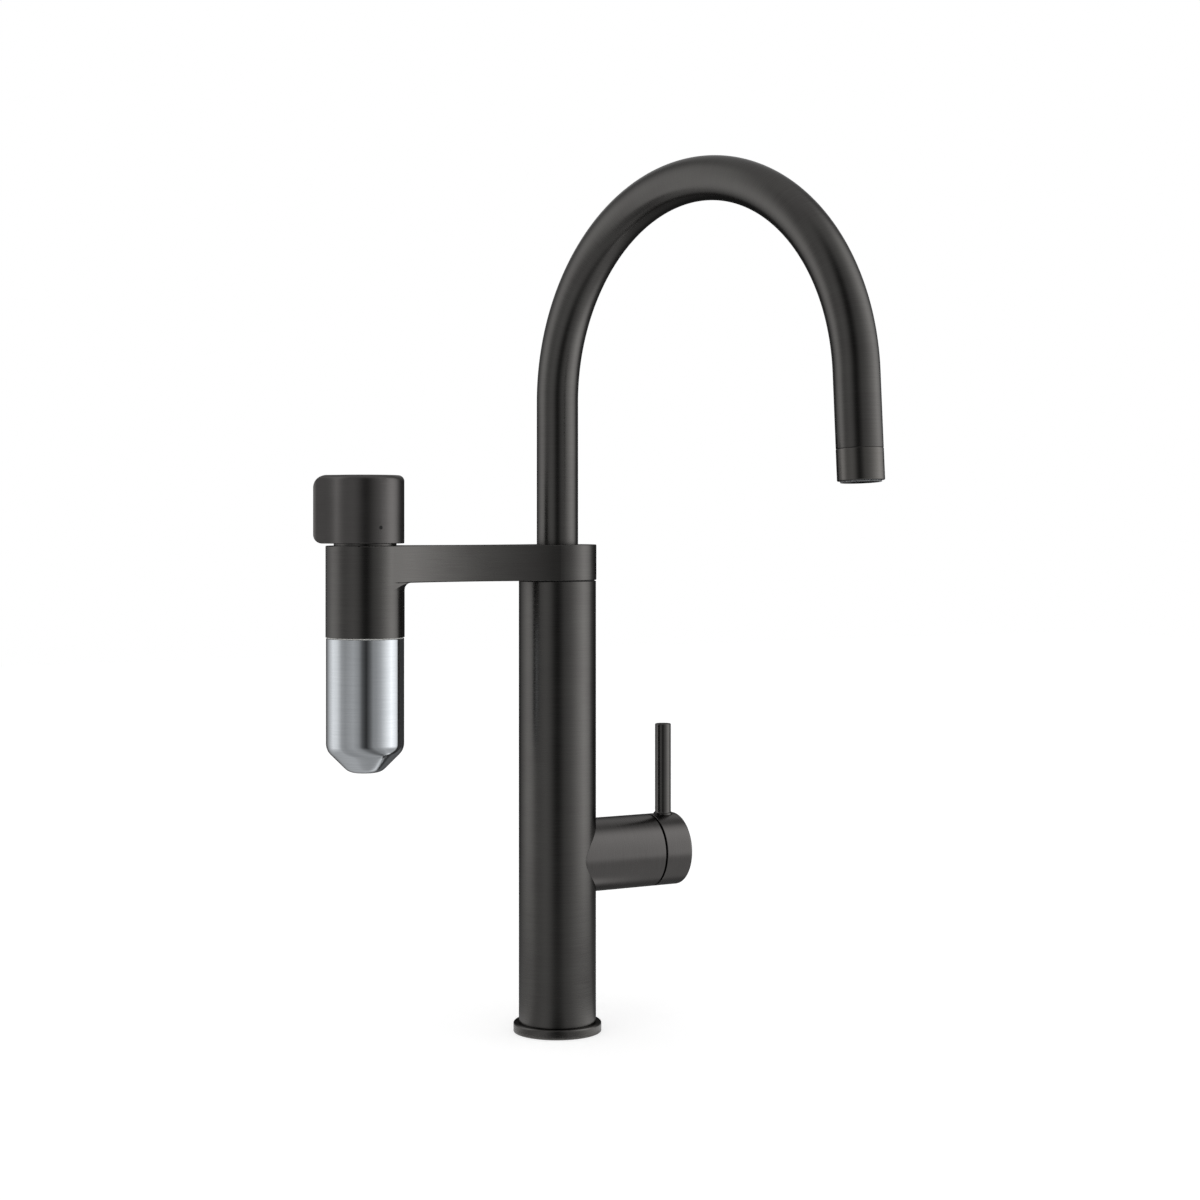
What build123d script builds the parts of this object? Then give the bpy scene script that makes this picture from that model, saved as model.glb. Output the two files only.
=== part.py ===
from build123d import *
from math import asin, atan2, cos, degrees, radians, sin, sqrt, tan
import os

# Single-hole kitchen tap with its own drinking-water filter, in millimetres and degrees.
# Origin at the centre of the base on the worktop, +Z up, front towards -Y.
# The mixer branch points along +X and the filter arm along -X.

# Clearances
seat_gap = 0.05
run_gap = 0.05
slide_gap = 0.1
free_gap = 0.3

# Base flange, its seal and the brass foot that closes the column
flange_d = 45.6
flange_height = 5.0
flange_edge = 1.0
flange_bore_d = 34.0
seal_d = 42.4
seal_width = 2.6
seal_depth = 1.8
foot_height = 24.0
stud_socket_d = 6.8
stud_socket_depth = 12.0
stud_offset = 9.0
filter_feed_level = 16.0
inlet_socket_d = 9.0
inlet_socket_depth = 11.0

# Column tube
column_d = 40.0
column_wall = 1.5
column_top = 233.15

# Copper pipes inside the column
feed_pipe_d = 8.0
feed_pipe_wall = 1.0
feed_offset = 6.0
feed_spread = 14.0
pipe_seat = 5.0
riser_pipe_d = 10.0
riser_pipe_wall = 1.0
filter_pipe_d = 5.0
filter_pipe_wall = 0.8
waterway_d = 3.0

# Mixer branch and the brass valve body inside it
branch_height = 89.65
branch_d = 38.0
branch_face = 54.6
branch_chamfer = 0.4
valve_body_d = 31.0
valve_inlet_rise = 4.0
valve_outlet_drop = 7.0
valve_port_d = 5.0
pipe_stop_drop = 11.0

# Lever cap, its ball-shaped relief and the cover ring under it
cap_gap = 1.0
cap_thickness = 15.35
cap_edge = 1.3
cap_skirt = 0.8
pivot_depth = 17.0
cover_ring_d = 33.0
cover_ring_wall = 1.45
hub_d = 10.4
hub_start = 13.0
cap_floor = 4.0

# Lever rod
rod_d = 8.4
rod_setback = 8.2
rod_top = 66.65
rod_top_edge = 0.4
rod_foot_d = 9.9
rod_foot_rise = 1.3
rod_foot_edge = 0.3
rod_seat_depth = 1.2
rod_stub_d = 5.0

# Ceramic mixing cartridge, measured along the branch from the lever's pivot
cartridge_d = 25.0
cartridge_wall = 0.8
cartridge_seal_thickness = 0.8
cartridge_base_thickness = 4.0
disc_thickness = 3.0
fixed_disc_d = 23.2
disc_inlet_d = 3.4
disc_inlet_rise = 3.2
disc_inlet_spread = 7.2
disc_outlet_d = 4.0
disc_outlet_drop = 3.0
moving_disc_d = 14.4
mixing_pocket_d = 7.2
mixing_pocket_drop = 2.6
carrier_rib_length = 7.0
carrier_rib_rise = 3.4
carrier_slot_width = 4.0
carrier_height = 2.45
disc_top_depth = 10.75
rotor_flange_start = 6.0
rotor_flange_height = 3.45
rotor_neck_d = 16.8
rotor_neck_top = 3.4
housing_neck_top = 2.4
housing_neck_wall = 1.75
nut_start = 0.4
nut_thread_d = 28.0
nut_flat_height = 4.0
nut_across_corners = 29.2
valve_face_offset = 4.4
cover_ring_start = 2.1

# Lever stem and its cross pin
stem_width = 6.0
stem_heel = 3.5
stem_slot_length = 12.0
rotor_pin_d = 2.5
tip_arm = 8.8
tip_ball_d = 3.4
tip_neck_d = 3.0
tip_clearance = 0.3

# Column head that carries the filter arm and the spout
head_depth = 33.15
head_floor_thickness = 6.0
head_pipe_seat = 4.0
head_bore_d = 24.0
ring_wall = 4.2
ring_roof = 2.9
filter_side_spread = 11.0

# Filter arm casting
arm_length = 108.0
arm_height = 18.35
arm_side_r = 118.0
ring_gap = 0.5
ring_d = 40.5
arm_edge = 0.5
arm_root_fillet = 3.5
arm_bore_rise = 5.35
stop_screw_d = 4.0
stop_dog_d = 2.6
stop_drop = 5.4

# Filter housing, the lower end of the arm
housing_d = 39.0
housing_height = 45.2
housing_roof_rise = 26.7
socket_bore_d = 31.9

# Quarter-turn ceramic valve in the housing's top
valve_bore_d = 18.0
valve_bore_floor_rise = 3.0
valve_pocket_depth = 1.0
window_d = 3.4
feed_drop_d = 2.4
feed_drop_offset = 0.3
valve_seal_thickness = 1.45
valve_disc_thickness = 2.5
valve_disc_d = 12.4
valve_flange_d = 23.0
valve_flange_height = 2.5
valve_neck_d = 15.0
knob_ring_d = 31.0
knob_ring_height = 2.0
valve_neck_top = 12.0
spindle_d = 8.0
spindle_fork_height = 5.0
spindle_top = 24.0
clip_thickness = 1.0
clip_width = 2.3
clip_groove = 0.75

# Filter knob with its thumb lug
knob_d = 38.7
knob_gap = 1.1
knob_height = 33.75
knob_top_edge = 3.0
knob_low_edge = 0.5
knob_cavity_d = 33.0
knob_top_wall = 4.0
lug_azimuth = 150.0
lug_reach = 24.8
lug_tip_width = 18.4
lug_taper = 20.5
lug_blend = 20
lug_corner = 3.3
lug_top_round = 7.0
lug_low_round = 5.0
adaptor_d = 14.0
adaptor_start = 13.5
adaptor_end = 27.5
hub_wall = 2.4
dot_d = 1.7
dot_depth = 2.0
dot_rise = 7.9
dot_recess = 0.1

# Filter cup
cup_d = 38.5
cup_length = 66.4
cup_flat_r = 7.95
cup_shoulder_fillet = 7.5
cup_heel_fillet = 7.0
cup_wall = 1.2
cup_neck_d = 33.8
cup_neck_wall = 1.5
cup_neck_length = 14.2
cup_ring_thickness = 2.0
cup_ring_drop = 2.0
washer_thickness = 0.5
washer_d = 38.0

# Filter cartridge
filter_d = 30.0
filter_wall = 1.5
filter_rest = 11.2
filter_length = 69.0
filter_base_height = 3.0
filter_pin_d = 8.0
filter_cap_height = 5.0
filter_neck_d = 13.4
filter_neck_length = 11.0
filter_window_count = 6
filter_window_width = 7.0
filter_window_margin = 9.0
filter_core_d = 26.4
filter_ring_thickness = 1.6
filter_ring_pitch = 4.0
filter_socket_height = 11.5

# Swan-neck spout
spout_d = 21.5
spout_wall = 1.3
arch_radius = 103.8
spout_rise = 73.8
arch_sweep = 176.85
tail_length = 34.8
nozzle_length = 14.4
nozzle_spigot = 8.0
nozzle_wall = 2.0
nozzle_groove = 0.25
spout_azimuth = -77.92
spout_swing = 75.0
front_azimuth = -90.0
drinking_tube_d = 6.0
drinking_tube_wall = 0.8
drinking_tube_end = 3.0

# Aerator in the nozzle
aerator_d = 17.8
aerator_start = 4.0
aerator_lip_d = 16.5
aerator_lip = 0.9
aerator_mouth_d = 14.8
aerator_mouth_depth = 1.5
aerator_way_count = 8
aerator_way_d = 2.6
aerator_way_r = 5.3
screen_thickness = 0.6
screen_hole_d = 1.2
screen_pitch = 2.1
screen_ring_count = 3

# Swivel spigot of the spout
spigot_d = 22.8
spigot_foot_gap = 0.1
spigot_core_d = 15.0
spigot_web = 8.0
spigot_tube_rise = 2.0
spigot_way_d = 3.8
spigot_neck_length = 10.0
spigot_groove_depth = 1.2
slide_ring_height = 4.0
slide_ring_levels = (2.0, 21.0)
spout_o_ring_height = 2.0
spout_o_ring_offset = 4.2

# Sizes that follow from the ones above
flange_r = flange_d / 2
column_r = column_d / 2
column_bore = column_r - column_wall
branch_r = branch_d / 2
valve_body_r = valve_body_d / 2
cap_back = branch_face + cap_gap
cap_face = cap_back + cap_thickness
lever_pivot = cap_back - pivot_depth
relief_r = sqrt(pivot_depth**2 + (branch_r - cap_skirt) ** 2)
cover_ring_r = cover_ring_d / 2
cover_ball_r = relief_r - free_gap - run_gap
arm_low = column_top + ring_gap
arm_top = arm_low + arm_height
arch_height = arm_top + spout_rise
head_low = column_top - head_depth
head_floor = head_low + head_floor_thickness
ring_r = ring_d / 2
head_neck_r = ring_r - ring_wall
head_top = arm_top - ring_roof - seat_gap
head_bore = head_bore_d / 2
filter_pipe_reach = (head_bore + head_neck_r) / 2
housing_r = housing_d / 2
housing_low = arm_top - housing_height
housing_roof = housing_low + housing_roof_rise
valve_floor = housing_roof + valve_bore_floor_rise
knob_low = arm_top + knob_gap
knob_top = knob_low + knob_height
cup_shoulder = housing_low - washer_thickness - 2 * run_gap
cup_bottom = cup_shoulder - cup_length
filter_low = cup_bottom + filter_rest
filter_top = filter_low + filter_length
cup_neck_r = cup_neck_d / 2
cup_neck_bore = cup_neck_r - cup_neck_wall
spout_r = spout_d / 2
spout_bore = spout_r - spout_wall
spigot_r = spigot_d / 2
spigot_low = head_floor + spigot_foot_gap
bearing_r = head_bore - run_gap
way_level = arm_low + arm_bore_rise
stop_level = arm_top - stop_drop

FROM_BELOW = (Align.CENTER, Align.CENTER, Align.MIN)
filter_axis = Pos(-arm_length, 0, 0)
branch = Plane(origin=(0, 0, branch_height), x_dir=(0, 0, 1), z_dir=(1, 0, 0))
spout_dir = (cos(radians(spout_azimuth)), sin(radians(spout_azimuth)))
spout_plane = Plane(origin=(0, 0, 0), x_dir=(*spout_dir, 0), z_dir=(spout_dir[1], -spout_dir[0], 0))


def rod(radius, low, high):
    """Round bar on the Z axis between two heights."""
    return Pos(0, 0, low) * Cylinder(radius, high - low, align=FROM_BELOW)


def sleeve(outer, inner, low, high):
    """Round tube on the Z axis between two heights."""
    return rod(outer, low, high) - rod(inner, low, high)


def turned(*outline):
    """Solid turned about Z from corner points given as (radius, height)."""
    return revolve(Plane.XZ * make_face(Polyline(*outline, close=True)), Axis.Z)


def bar_along_x(radius, start, end, y, z):
    """Round bar along X, used as a drilling."""
    return Pos(start, y, z) * Rot(0, 90, 0) * Cylinder(radius, end - start, align=FROM_BELOW)


def side_by_side(shape, spread):
    """The shape and its copy, spread apart along Y."""
    return Pos(0, spread / 2, 0) * shape + Pos(0, -spread / 2, 0) * shape


# Base flange: a low turned ring with a rounded top edge and a groove for the seal
def base_flange():
    ring = sleeve(flange_r, flange_bore_d / 2, 0, flange_height)
    top_rim = ring.edges().group_by(Axis.Z)[-1].sort_by(SortBy.RADIUS)[-1]
    ring = fillet(top_rim, flange_edge)
    return ring - sleeve(seal_d / 2, seal_d / 2 - seal_width, 0, seal_depth)


def base_seal():
    return sleeve(seal_d / 2 - seat_gap, seal_d / 2 - seal_width + seat_gap, 0, seal_depth)


# Foot insert: brass plug through the flange, with the hose sockets below and pipe seats above
def foot_insert():
    plug = rod(flange_bore_d / 2 - seat_gap, 0, flange_height)
    plug += rod(column_bore - seat_gap, flange_height, foot_height)
    plug -= Pos(-stud_offset, 0, 0) * rod(stud_socket_d / 2, 0, stud_socket_depth)
    feed = rod(inlet_socket_d / 2, 0, inlet_socket_depth)
    feed += rod(feed_pipe_d / 2 - feed_pipe_wall, 0, foot_height)
    feed += rod(feed_pipe_d / 2 + seat_gap, foot_height - pipe_seat, foot_height)
    plug -= Pos(feed_offset, 0, 0) * side_by_side(feed, feed_spread)
    seat = rod(filter_pipe_d / 2 + seat_gap, foot_height - pipe_seat, foot_height)
    seat += rod(waterway_d / 2, filter_feed_level, foot_height)
    plug -= filter_pipe_place() * seat
    return plug - filter_feed()


def filter_feed():
    """Level drilling from the cold water's passage to the foot of the filter's pipe."""
    start = filter_pipe_place().position
    end = Vector(feed_offset, -feed_spread / 2, 0)
    run = end - start
    turn = degrees(atan2(run.Y, run.X))
    drill = Rot(0, 0, turn) * Rot(0, 90, 0) * Cylinder(waterway_d / 2, run.length, align=FROM_BELOW)
    return Pos(start.X, start.Y, filter_feed_level) * drill


def filter_pipe_place():
    """Place of the pipe that takes cold water up to the filter."""
    y = -filter_side_spread / 2
    return Pos(-sqrt(filter_pipe_reach**2 - y**2), y, 0)


# Column: drawn tube with a side hole for the valve body
def column_tube():
    tube = sleeve(column_r, column_bore, flange_height, column_top)
    return tube - branch * rod(valve_body_r + seat_gap, 0, column_d)


def feed_pipe(side):
    """Pipe from a hose socket up into the valve body; side 1 is hot, at the back, -1 is cold."""
    top = branch_height - pipe_stop_drop
    pipe = sleeve(feed_pipe_d / 2, feed_pipe_d / 2 - feed_pipe_wall, foot_height - pipe_seat, top)
    return Pos(feed_offset, side * feed_spread / 2, 0) * pipe


def riser_seat():
    """Height in the valve body where the mixed-water riser stands."""
    return branch_height + sqrt(valve_body_r**2 - (riser_pipe_d / 2) ** 2) - pipe_seat / 2


def mixed_riser():
    outer = riser_pipe_d / 2
    pipe = sleeve(outer, outer - riser_pipe_wall, riser_seat(), head_low + head_pipe_seat)
    return Pos(feed_offset, 0, 0) * pipe


def filter_riser():
    outer = filter_pipe_d / 2
    pipe = sleeve(outer, outer - filter_pipe_wall, foot_height - pipe_seat, head_low + head_pipe_seat)
    return filter_pipe_place() * pipe


# Mixer branch: thick tube with a saddle end, brazed on the column, and a counterbored mouth
def mixer_branch():
    tube = rod(branch_r, 0, branch_face)
    tube = chamfer(tube.edges().group_by(Axis.Z)[-1], branch_chamfer)
    tube -= rod(valve_body_r + seat_gap, 0, branch_face)
    tube -= rod(cover_ring_r + seat_gap, lever_pivot - cover_ring_start - seat_gap, branch_face)
    return branch * tube - rod(column_r + seat_gap, 0, column_top)


# Valve body: brass plug across the column, with the cartridge chamber and the pipe seats
def valve_body():
    floor = cartridge_floor()
    face = lever_pivot + valve_face_offset
    back = -sqrt(column_bore**2 - valve_body_r**2) + free_gap
    body = rod(valve_body_r, back, lever_pivot - cover_ring_start)
    body += rod(cover_ring_r - cover_ring_wall - seat_gap, back, face)
    body -= rod(cartridge_d / 2 + seat_gap, floor, face)
    body -= rod(nut_thread_d / 2 + seat_gap, lever_pivot + nut_start, face)
    body = branch * body
    high = branch_height + valve_inlet_rise
    low = branch_height - valve_outlet_drop
    port_r = valve_port_d / 2
    inlet = rod(feed_pipe_d / 2 + seat_gap, branch_height - branch_r, branch_height - pipe_stop_drop)
    inlet += rod(port_r, branch_height - branch_r, high + port_r)
    inlet += bar_along_x(port_r, 0, floor - feed_offset, 0, high)
    body -= Pos(feed_offset, 0, 0) * side_by_side(inlet, feed_spread)
    outlet = rod(riser_pipe_d / 2 + seat_gap, riser_seat(), branch_height + branch_r)
    outlet += rod(port_r, low - port_r, riser_seat())
    outlet += bar_along_x(port_r, 0, floor - feed_offset, 0, low)
    return body - Pos(feed_offset, 0, 0) * outlet


def cartridge_floor():
    """Distance of the chamber floor from the column's axis."""
    stack = disc_top_depth + 2 * disc_thickness + cartridge_base_thickness + cartridge_seal_thickness
    return lever_pivot - stack - run_gap


def body_ports():
    """Centre, as (up, across), and radius of the valve body's two inlets and its outlet."""
    port_r = valve_port_d / 2
    inlets = [(valve_inlet_rise, side * feed_spread / 2, port_r) for side in (1, -1)]
    return inlets + [(-valve_outlet_drop, 0, port_r)]


def disc_ports():
    """The same three ports in the fixed disc, drawn in so that the moving disc covers them."""
    inlets = [(disc_inlet_rise, side * disc_inlet_spread / 2, disc_inlet_d / 2) for side in (1, -1)]
    return inlets + [(-disc_outlet_drop, 0, disc_outlet_d / 2)]


def port_holes(ports, low, high):
    """Holes drilled along the branch for the listed ports."""
    return [Pos(up, across, 0) * rod(radius, low, high) for up, across, radius in ports]


# Mixing cartridge: seal, base, fixed ceramic disc and the housing that holds them
def cartridge_plate(ports, radius, start, thickness):
    """One layer of the cartridge's stack with the three water ports."""
    return branch * (rod(radius, start, start + thickness) - port_holes(ports, start, start + thickness))


def port_links(low, high):
    """Slots in the base's front that lead each body port to its disc port."""
    links = []
    for (up, across, _), (disc_up, disc_across, radius) in zip(body_ports(), disc_ports()):
        middle = Pos((up + disc_up) / 2, (across + disc_across) / 2, low)
        turn = degrees(atan2(disc_across - across, disc_up - up))
        span = sqrt((disc_up - up) ** 2 + (disc_across - across) ** 2)
        slot = SlotCenterToCenter(span, 2 * radius)
        links.append(middle * Rot(0, 0, turn) * extrude(slot, high - low))
    return links


def cartridge_housing():
    start = cartridge_floor() + cartridge_seal_thickness + cartridge_base_thickness
    shoulder = lever_pivot - rotor_flange_start + rotor_flange_height + run_gap
    neck_bore = rotor_neck_d / 2 + run_gap
    shell = rod(cartridge_d / 2, start, lever_pivot + nut_start)
    shell += rod(neck_bore + housing_neck_wall, start, lever_pivot + housing_neck_top)
    shell -= rod(cartridge_d / 2 - cartridge_wall, start, shoulder)
    return branch * (shell - rod(neck_bore, start, lever_pivot + housing_neck_top))


def cartridge_nut():
    inner = rotor_neck_d / 2 + housing_neck_wall + 2 * run_gap
    face = lever_pivot + valve_face_offset
    nut = rod(nut_thread_d / 2, lever_pivot + nut_start, face)
    nut += Pos(0, 0, face) * extrude(RegularPolygon(nut_across_corners / 2, 6), nut_flat_height)
    return branch * (nut - rod(inner, lever_pivot + nut_start, face + nut_flat_height))


# Cover ring: screwed over the valve body, its end is a zone of a ball about the lever's pivot
def cover_ring():
    ring = sleeve(cover_ring_r, cover_ring_r - cover_ring_wall, lever_pivot - cover_ring_start, cap_face)
    return branch * (ring & Pos(0, 0, lever_pivot) * Sphere(cover_ball_r))


# Rotor: turns with the lever for temperature, slotted for the stem's tilt
def cartridge_rotor():
    start = lever_pivot - rotor_flange_start
    rotor = rod(cartridge_d / 2 - cartridge_wall - run_gap, start, start + rotor_flange_height)
    rotor += rod(rotor_neck_d / 2, start, lever_pivot + rotor_neck_top)
    slot = Box(stem_slot_length, stem_width + 2 * slide_gap, cartridge_d)
    rotor -= Pos(0, 0, lever_pivot) * slot
    groove_top = carrier_top() + carrier_rib_rise + slide_gap
    groove = Box(rotor_neck_d, stem_width + 2 * slide_gap, groove_top - start, align=FROM_BELOW)
    rotor -= Pos(0, 0, start) * groove
    pin_hole = cross_bar(rotor_pin_d / 2 + seat_gap / 2, cartridge_d)
    return branch * (rotor - Pos(0, 0, lever_pivot) * pin_hole)


def cross_bar(radius, length):
    """Round bar across the branch, centred on its axis."""
    return Rot(90, 0, 0) * Cylinder(radius, length)


def rotor_pin():
    length = 2 * sqrt((rotor_neck_d / 2) ** 2 - (rotor_pin_d / 2) ** 2) - 2 * slide_gap
    return branch * Pos(0, 0, lever_pivot) * cross_bar(rotor_pin_d / 2, length)


# Lever stem: square bar through the cap, pivoted on the pin, with a ball tip in the moving disc
def lever_stem():
    length = stem_end() + stem_heel - lever_pivot
    bar = Pos(0, 0, -stem_heel) * Box(stem_width, stem_width, length, align=FROM_BELOW)
    bar += rod(tip_neck_d / 2, -tip_arm, 0)
    bar += Pos(0, 0, -tip_arm) * Sphere(tip_ball_d / 2)
    return branch * Pos(0, 0, lever_pivot) * (bar - cross_bar(rotor_pin_d / 2 + run_gap, stem_width * 2))


def stem_end():
    """Distance of the stem's outer end from the column's axis."""
    return cap_face - cap_floor


def carrier_top():
    """Distance of the moving disc's carrier from the column's axis, without its ribs."""
    return lever_pivot - disc_top_depth + carrier_height


# Moving ceramic disc with its carrier: slid by the stem's tip, turned by ribs in the rotor's groove
def moving_disc():
    start = lever_pivot - disc_top_depth - disc_thickness + run_gap
    low = lever_pivot - disc_top_depth
    high = carrier_top()
    disc = rod(moving_disc_d / 2, start, high)
    ribs = Box(carrier_rib_length, stem_width, carrier_rib_rise, align=FROM_BELOW)
    ribs -= Box(carrier_rib_length, carrier_slot_width, carrier_rib_rise, align=FROM_BELOW)
    disc += Pos(0, 0, high) * ribs
    disc -= rod(tip_ball_d / 2 + tip_clearance, low, high)
    pocket = rod(mixing_pocket_d / 2, start, start + disc_thickness / 2)
    return branch * (disc - Pos(-mixing_pocket_drop, 0, 0) * pocket)


# Lever cap: turned cover with a ball-shaped relief, a square-bored hub and the rod's seat
def lever_cap():
    hub_low = lever_pivot + hub_start
    cap = rod(branch_r, cap_back, cap_face)
    cap = fillet(cap.edges().group_by(Axis.Z)[-1], cap_edge)
    cap -= Pos(0, 0, lever_pivot) * Sphere(relief_r)
    cap += rod(hub_d / 2, hub_low, lever_pivot + relief_r)
    square = stem_width + 2 * seat_gap
    cap -= Pos(0, 0, hub_low) * Box(square, square, stem_end() - hub_low + seat_gap, align=FROM_BELOW)
    seat = branch_r - rod_seat_depth
    drill = rod(rod_foot_d / 2 + seat_gap, seat - seat_gap, branch_d)
    drill += rod(rod_stub_d / 2 + seat_gap, 0, seat)
    return branch * cap - rod_place() * drill


def rod_place():
    """Foot of the lever rod's axis on the branch's axis."""
    return Pos(cap_back + rod_setback, 0, branch_height)


# Lever rod: slim bar with a flared foot and a threaded stub that clamps the stem
def lever_rod():
    seat = branch_r - rod_seat_depth
    flare = branch_r + rod_foot_rise
    stub = rod(rod_stub_d / 2, stem_width / 2 + seat_gap, seat)
    bar = rod(rod_d / 2, seat, rod_top)
    bar = chamfer(bar.edges().group_by(Axis.Z)[-1], rod_top_edge)
    foot_r = rod_foot_d / 2
    foot_top = branch_r + rod_foot_edge
    foot = turned((0, seat), (foot_r, seat), (foot_r, foot_top), (rod_d / 2, flare), (0, flare))
    return rod_place() * (stub + bar + foot)


# Column head: brass plug in the column's top with the neck that carries the arm and the spout
def column_head():
    head = rod(column_bore - seat_gap, head_low, column_top) + rod(head_neck_r, head_low, head_top)
    head -= rod(head_bore, head_floor, head_top)
    riser = rod(riser_pipe_d / 2 + seat_gap, head_low, head_low + head_pipe_seat)
    riser += rod(riser_pipe_d / 2 - riser_pipe_wall, head_low, head_floor)
    head -= Pos(feed_offset, 0, 0) * riser
    feed = rod(filter_pipe_d / 2 + seat_gap, head_low, head_low + head_pipe_seat)
    feed += rod(waterway_d / 2 - free_gap, head_low, way_level)
    head -= filter_pipe_place() * feed
    side = filter_side_spread / 2
    feed_end = -filter_pipe_reach + waterway_d / 2
    head -= bar_along_x(waterway_d / 2, -ring_r, feed_end, -side, way_level)
    head -= bar_along_x(waterway_d / 2, -ring_r, 0, side, way_level)
    return head - back_hole(stop_screw_d / 2)


def back_hole(radius):
    """Screw hole from the back of the arm's ring to the axis."""
    return Pos(0, 0, stop_level) * Rot(-90, 0, 0) * Cylinder(radius, ring_d, align=FROM_BELOW)


def stop_screw():
    """Grub screw that fixes the arm and limits the spout's swing with its dog end."""
    dog_start = spigot_r - spigot_groove_depth + free_gap
    screw = rod(stop_dog_d / 2, dog_start, head_bore + free_gap)
    screw += rod(stop_screw_d / 2 - seat_gap, head_bore + free_gap, ring_r - free_gap)
    screw -= Pos(0, 0, ring_r) * extrude(RegularPolygon(stop_dog_d / 2, 6), -stop_screw_d / 2)
    return Pos(0, 0, stop_level) * Rot(-90, 0, 0) * screw


# Filter arm: one casting of ring, flat arm and filter housing, with two waterways in the arm
def arm_plan():
    """Outline of the arm from above: two circles joined by a waist with hollow sides.

    Each side is an arc that touches both circles.
    """
    near = arm_side_r + ring_r
    far = arm_side_r + housing_r
    centre_x = -(near**2 - far**2 + arm_length**2) / (2 * arm_length)
    centre_y = sqrt(near**2 - centre_x**2)
    ring_spot = (centre_x * ring_r / near, centre_y * ring_r / near)
    far_x = -arm_length + (centre_x + arm_length) * housing_r / far
    far_spot = (far_x, centre_y * housing_r / far)
    corners = [ring_spot, far_spot, (far_spot[0], -far_spot[1]), (ring_spot[0], -ring_spot[1])]
    plate = make_face(Polyline(*corners, close=True))
    for side in (1, -1):
        plate -= Pos(centre_x, side * centre_y) * Circle(arm_side_r)
    return Circle(ring_r) + Pos(-arm_length, 0) * Circle(housing_r) + plate


def arm_root():
    """Concave fillet between the arm's underside and the housing, trimmed to the arm's plan."""
    low = arm_low - arm_root_fillet
    outer = housing_r + arm_root_fillet
    corners = [(housing_r, low), (outer, low), (outer, arm_low), (housing_r, arm_low)]
    profile = make_face(Polyline(*corners, close=True)) - Pos(outer, low) * Circle(arm_root_fillet)
    gusset = filter_axis * revolve(Plane.XZ * profile, Axis.Z)
    return gusset & Pos(0, 0, low) * extrude(arm_plan(), arm_root_fillet)


def filter_arm():
    plate = Pos(0, 0, arm_low) * extrude(arm_plan(), arm_height)
    plate = fillet(plate.edges().group_by(Axis.Z)[-1] + plate.edges().group_by(Axis.Z)[0], arm_edge)
    arm = plate + arm_root() + filter_axis * rod(housing_r, housing_low, arm_low + arm_height / 2)
    arm -= rod(head_neck_r + seat_gap, arm_low, arm_top - ring_roof)
    arm -= rod(spout_r + free_gap, arm_low, arm_top)
    arm -= back_hole(stop_screw_d / 2)
    cavity = rod(cup_neck_r + slide_gap, housing_low, socket_low())
    cavity += rod(socket_bore_d / 2, housing_low, housing_roof)
    cavity += rod(valve_bore_d / 2, valve_floor, arm_top)
    cavity += rod(waterway_d / 2, housing_roof, valve_floor)
    cavity += rod(valve_disc_d / 4 + waterway_d / 2, valve_floor - valve_pocket_depth, valve_floor)
    return arm - filter_axis * cavity - arm_waterways()


def arm_waterways():
    """Feed and return drillings: the feed drops outside the filter, the return climbs to the valve."""
    way_r = waterway_d / 2
    side = filter_side_spread / 2
    feed_x = feed_drop_place().position.X
    ways = bar_along_x(way_r, feed_x, 0, -side, way_level)
    ways += feed_drop_place() * rod(feed_drop_d / 2, socket_low(), way_level)
    return_x = return_rise_place().position.X
    ways += bar_along_x(way_r, return_x, 0, side, way_level)
    return ways + return_rise_place() * rod(way_r, way_level - way_r, window_level() + way_r)


def feed_drop_place():
    """Place in the housing's wall where the feed drops to the space around the filter."""
    side = filter_side_spread / 2
    radius = cup_neck_r + slide_gap + feed_drop_offset
    return Pos(-arm_length + sqrt(radius**2 - side**2), -side, 0)


def return_rise_place():
    """Place on the valve bore's wall where filtered water leaves the valve."""
    side = filter_side_spread / 2
    radius = valve_bore_d / 2 + seat_gap
    return Pos(-arm_length + sqrt(radius**2 - side**2), side, 0)


def window_level():
    """Height of the headwork's side windows, beside the spindle's flange."""
    return valve_levels()[2] + spindle_fork_height / 2


def socket_low():
    return housing_roof - filter_socket_height


# Filter socket: moulded seat in the housing's roof that the filter cartridge plugs into
def filter_socket():
    socket = rod(socket_bore_d / 2 - seat_gap, socket_low(), housing_roof)
    socket -= rod(filter_neck_d / 2 + slide_gap, socket_low(), filter_top + filter_neck_length + free_gap)
    return filter_axis * (socket - rod(waterway_d / 2, socket_low(), housing_roof))


# Quarter-turn valve: seal, fixed disc and brass headwork
def disc_holes(radius, low, high):
    """Two opposite round ports of the quarter-turn discs."""
    hole = rod(radius, low, high)
    return [Pos(side * valve_disc_d / 4, 0, 0) * hole for side in (1, -1)]


def valve_levels():
    """Heights of the seal's top, fixed disc's top and moving disc's top."""
    seal = valve_floor + valve_seal_thickness
    fixed = seal + valve_disc_thickness
    return seal, fixed, fixed + run_gap + valve_disc_thickness


def valve_seal():
    seal = valve_levels()[0]
    disc = rod(valve_bore_d / 2 - seat_gap, valve_floor, seal)
    return filter_axis * (disc - disc_holes(waterway_d / 2, valve_floor, seal))


def valve_fixed_disc():
    seal, fixed, _ = valve_levels()
    disc = rod(valve_disc_d / 2, seal, fixed)
    return filter_axis * (disc - disc_holes(waterway_d / 2, seal, fixed))


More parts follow.
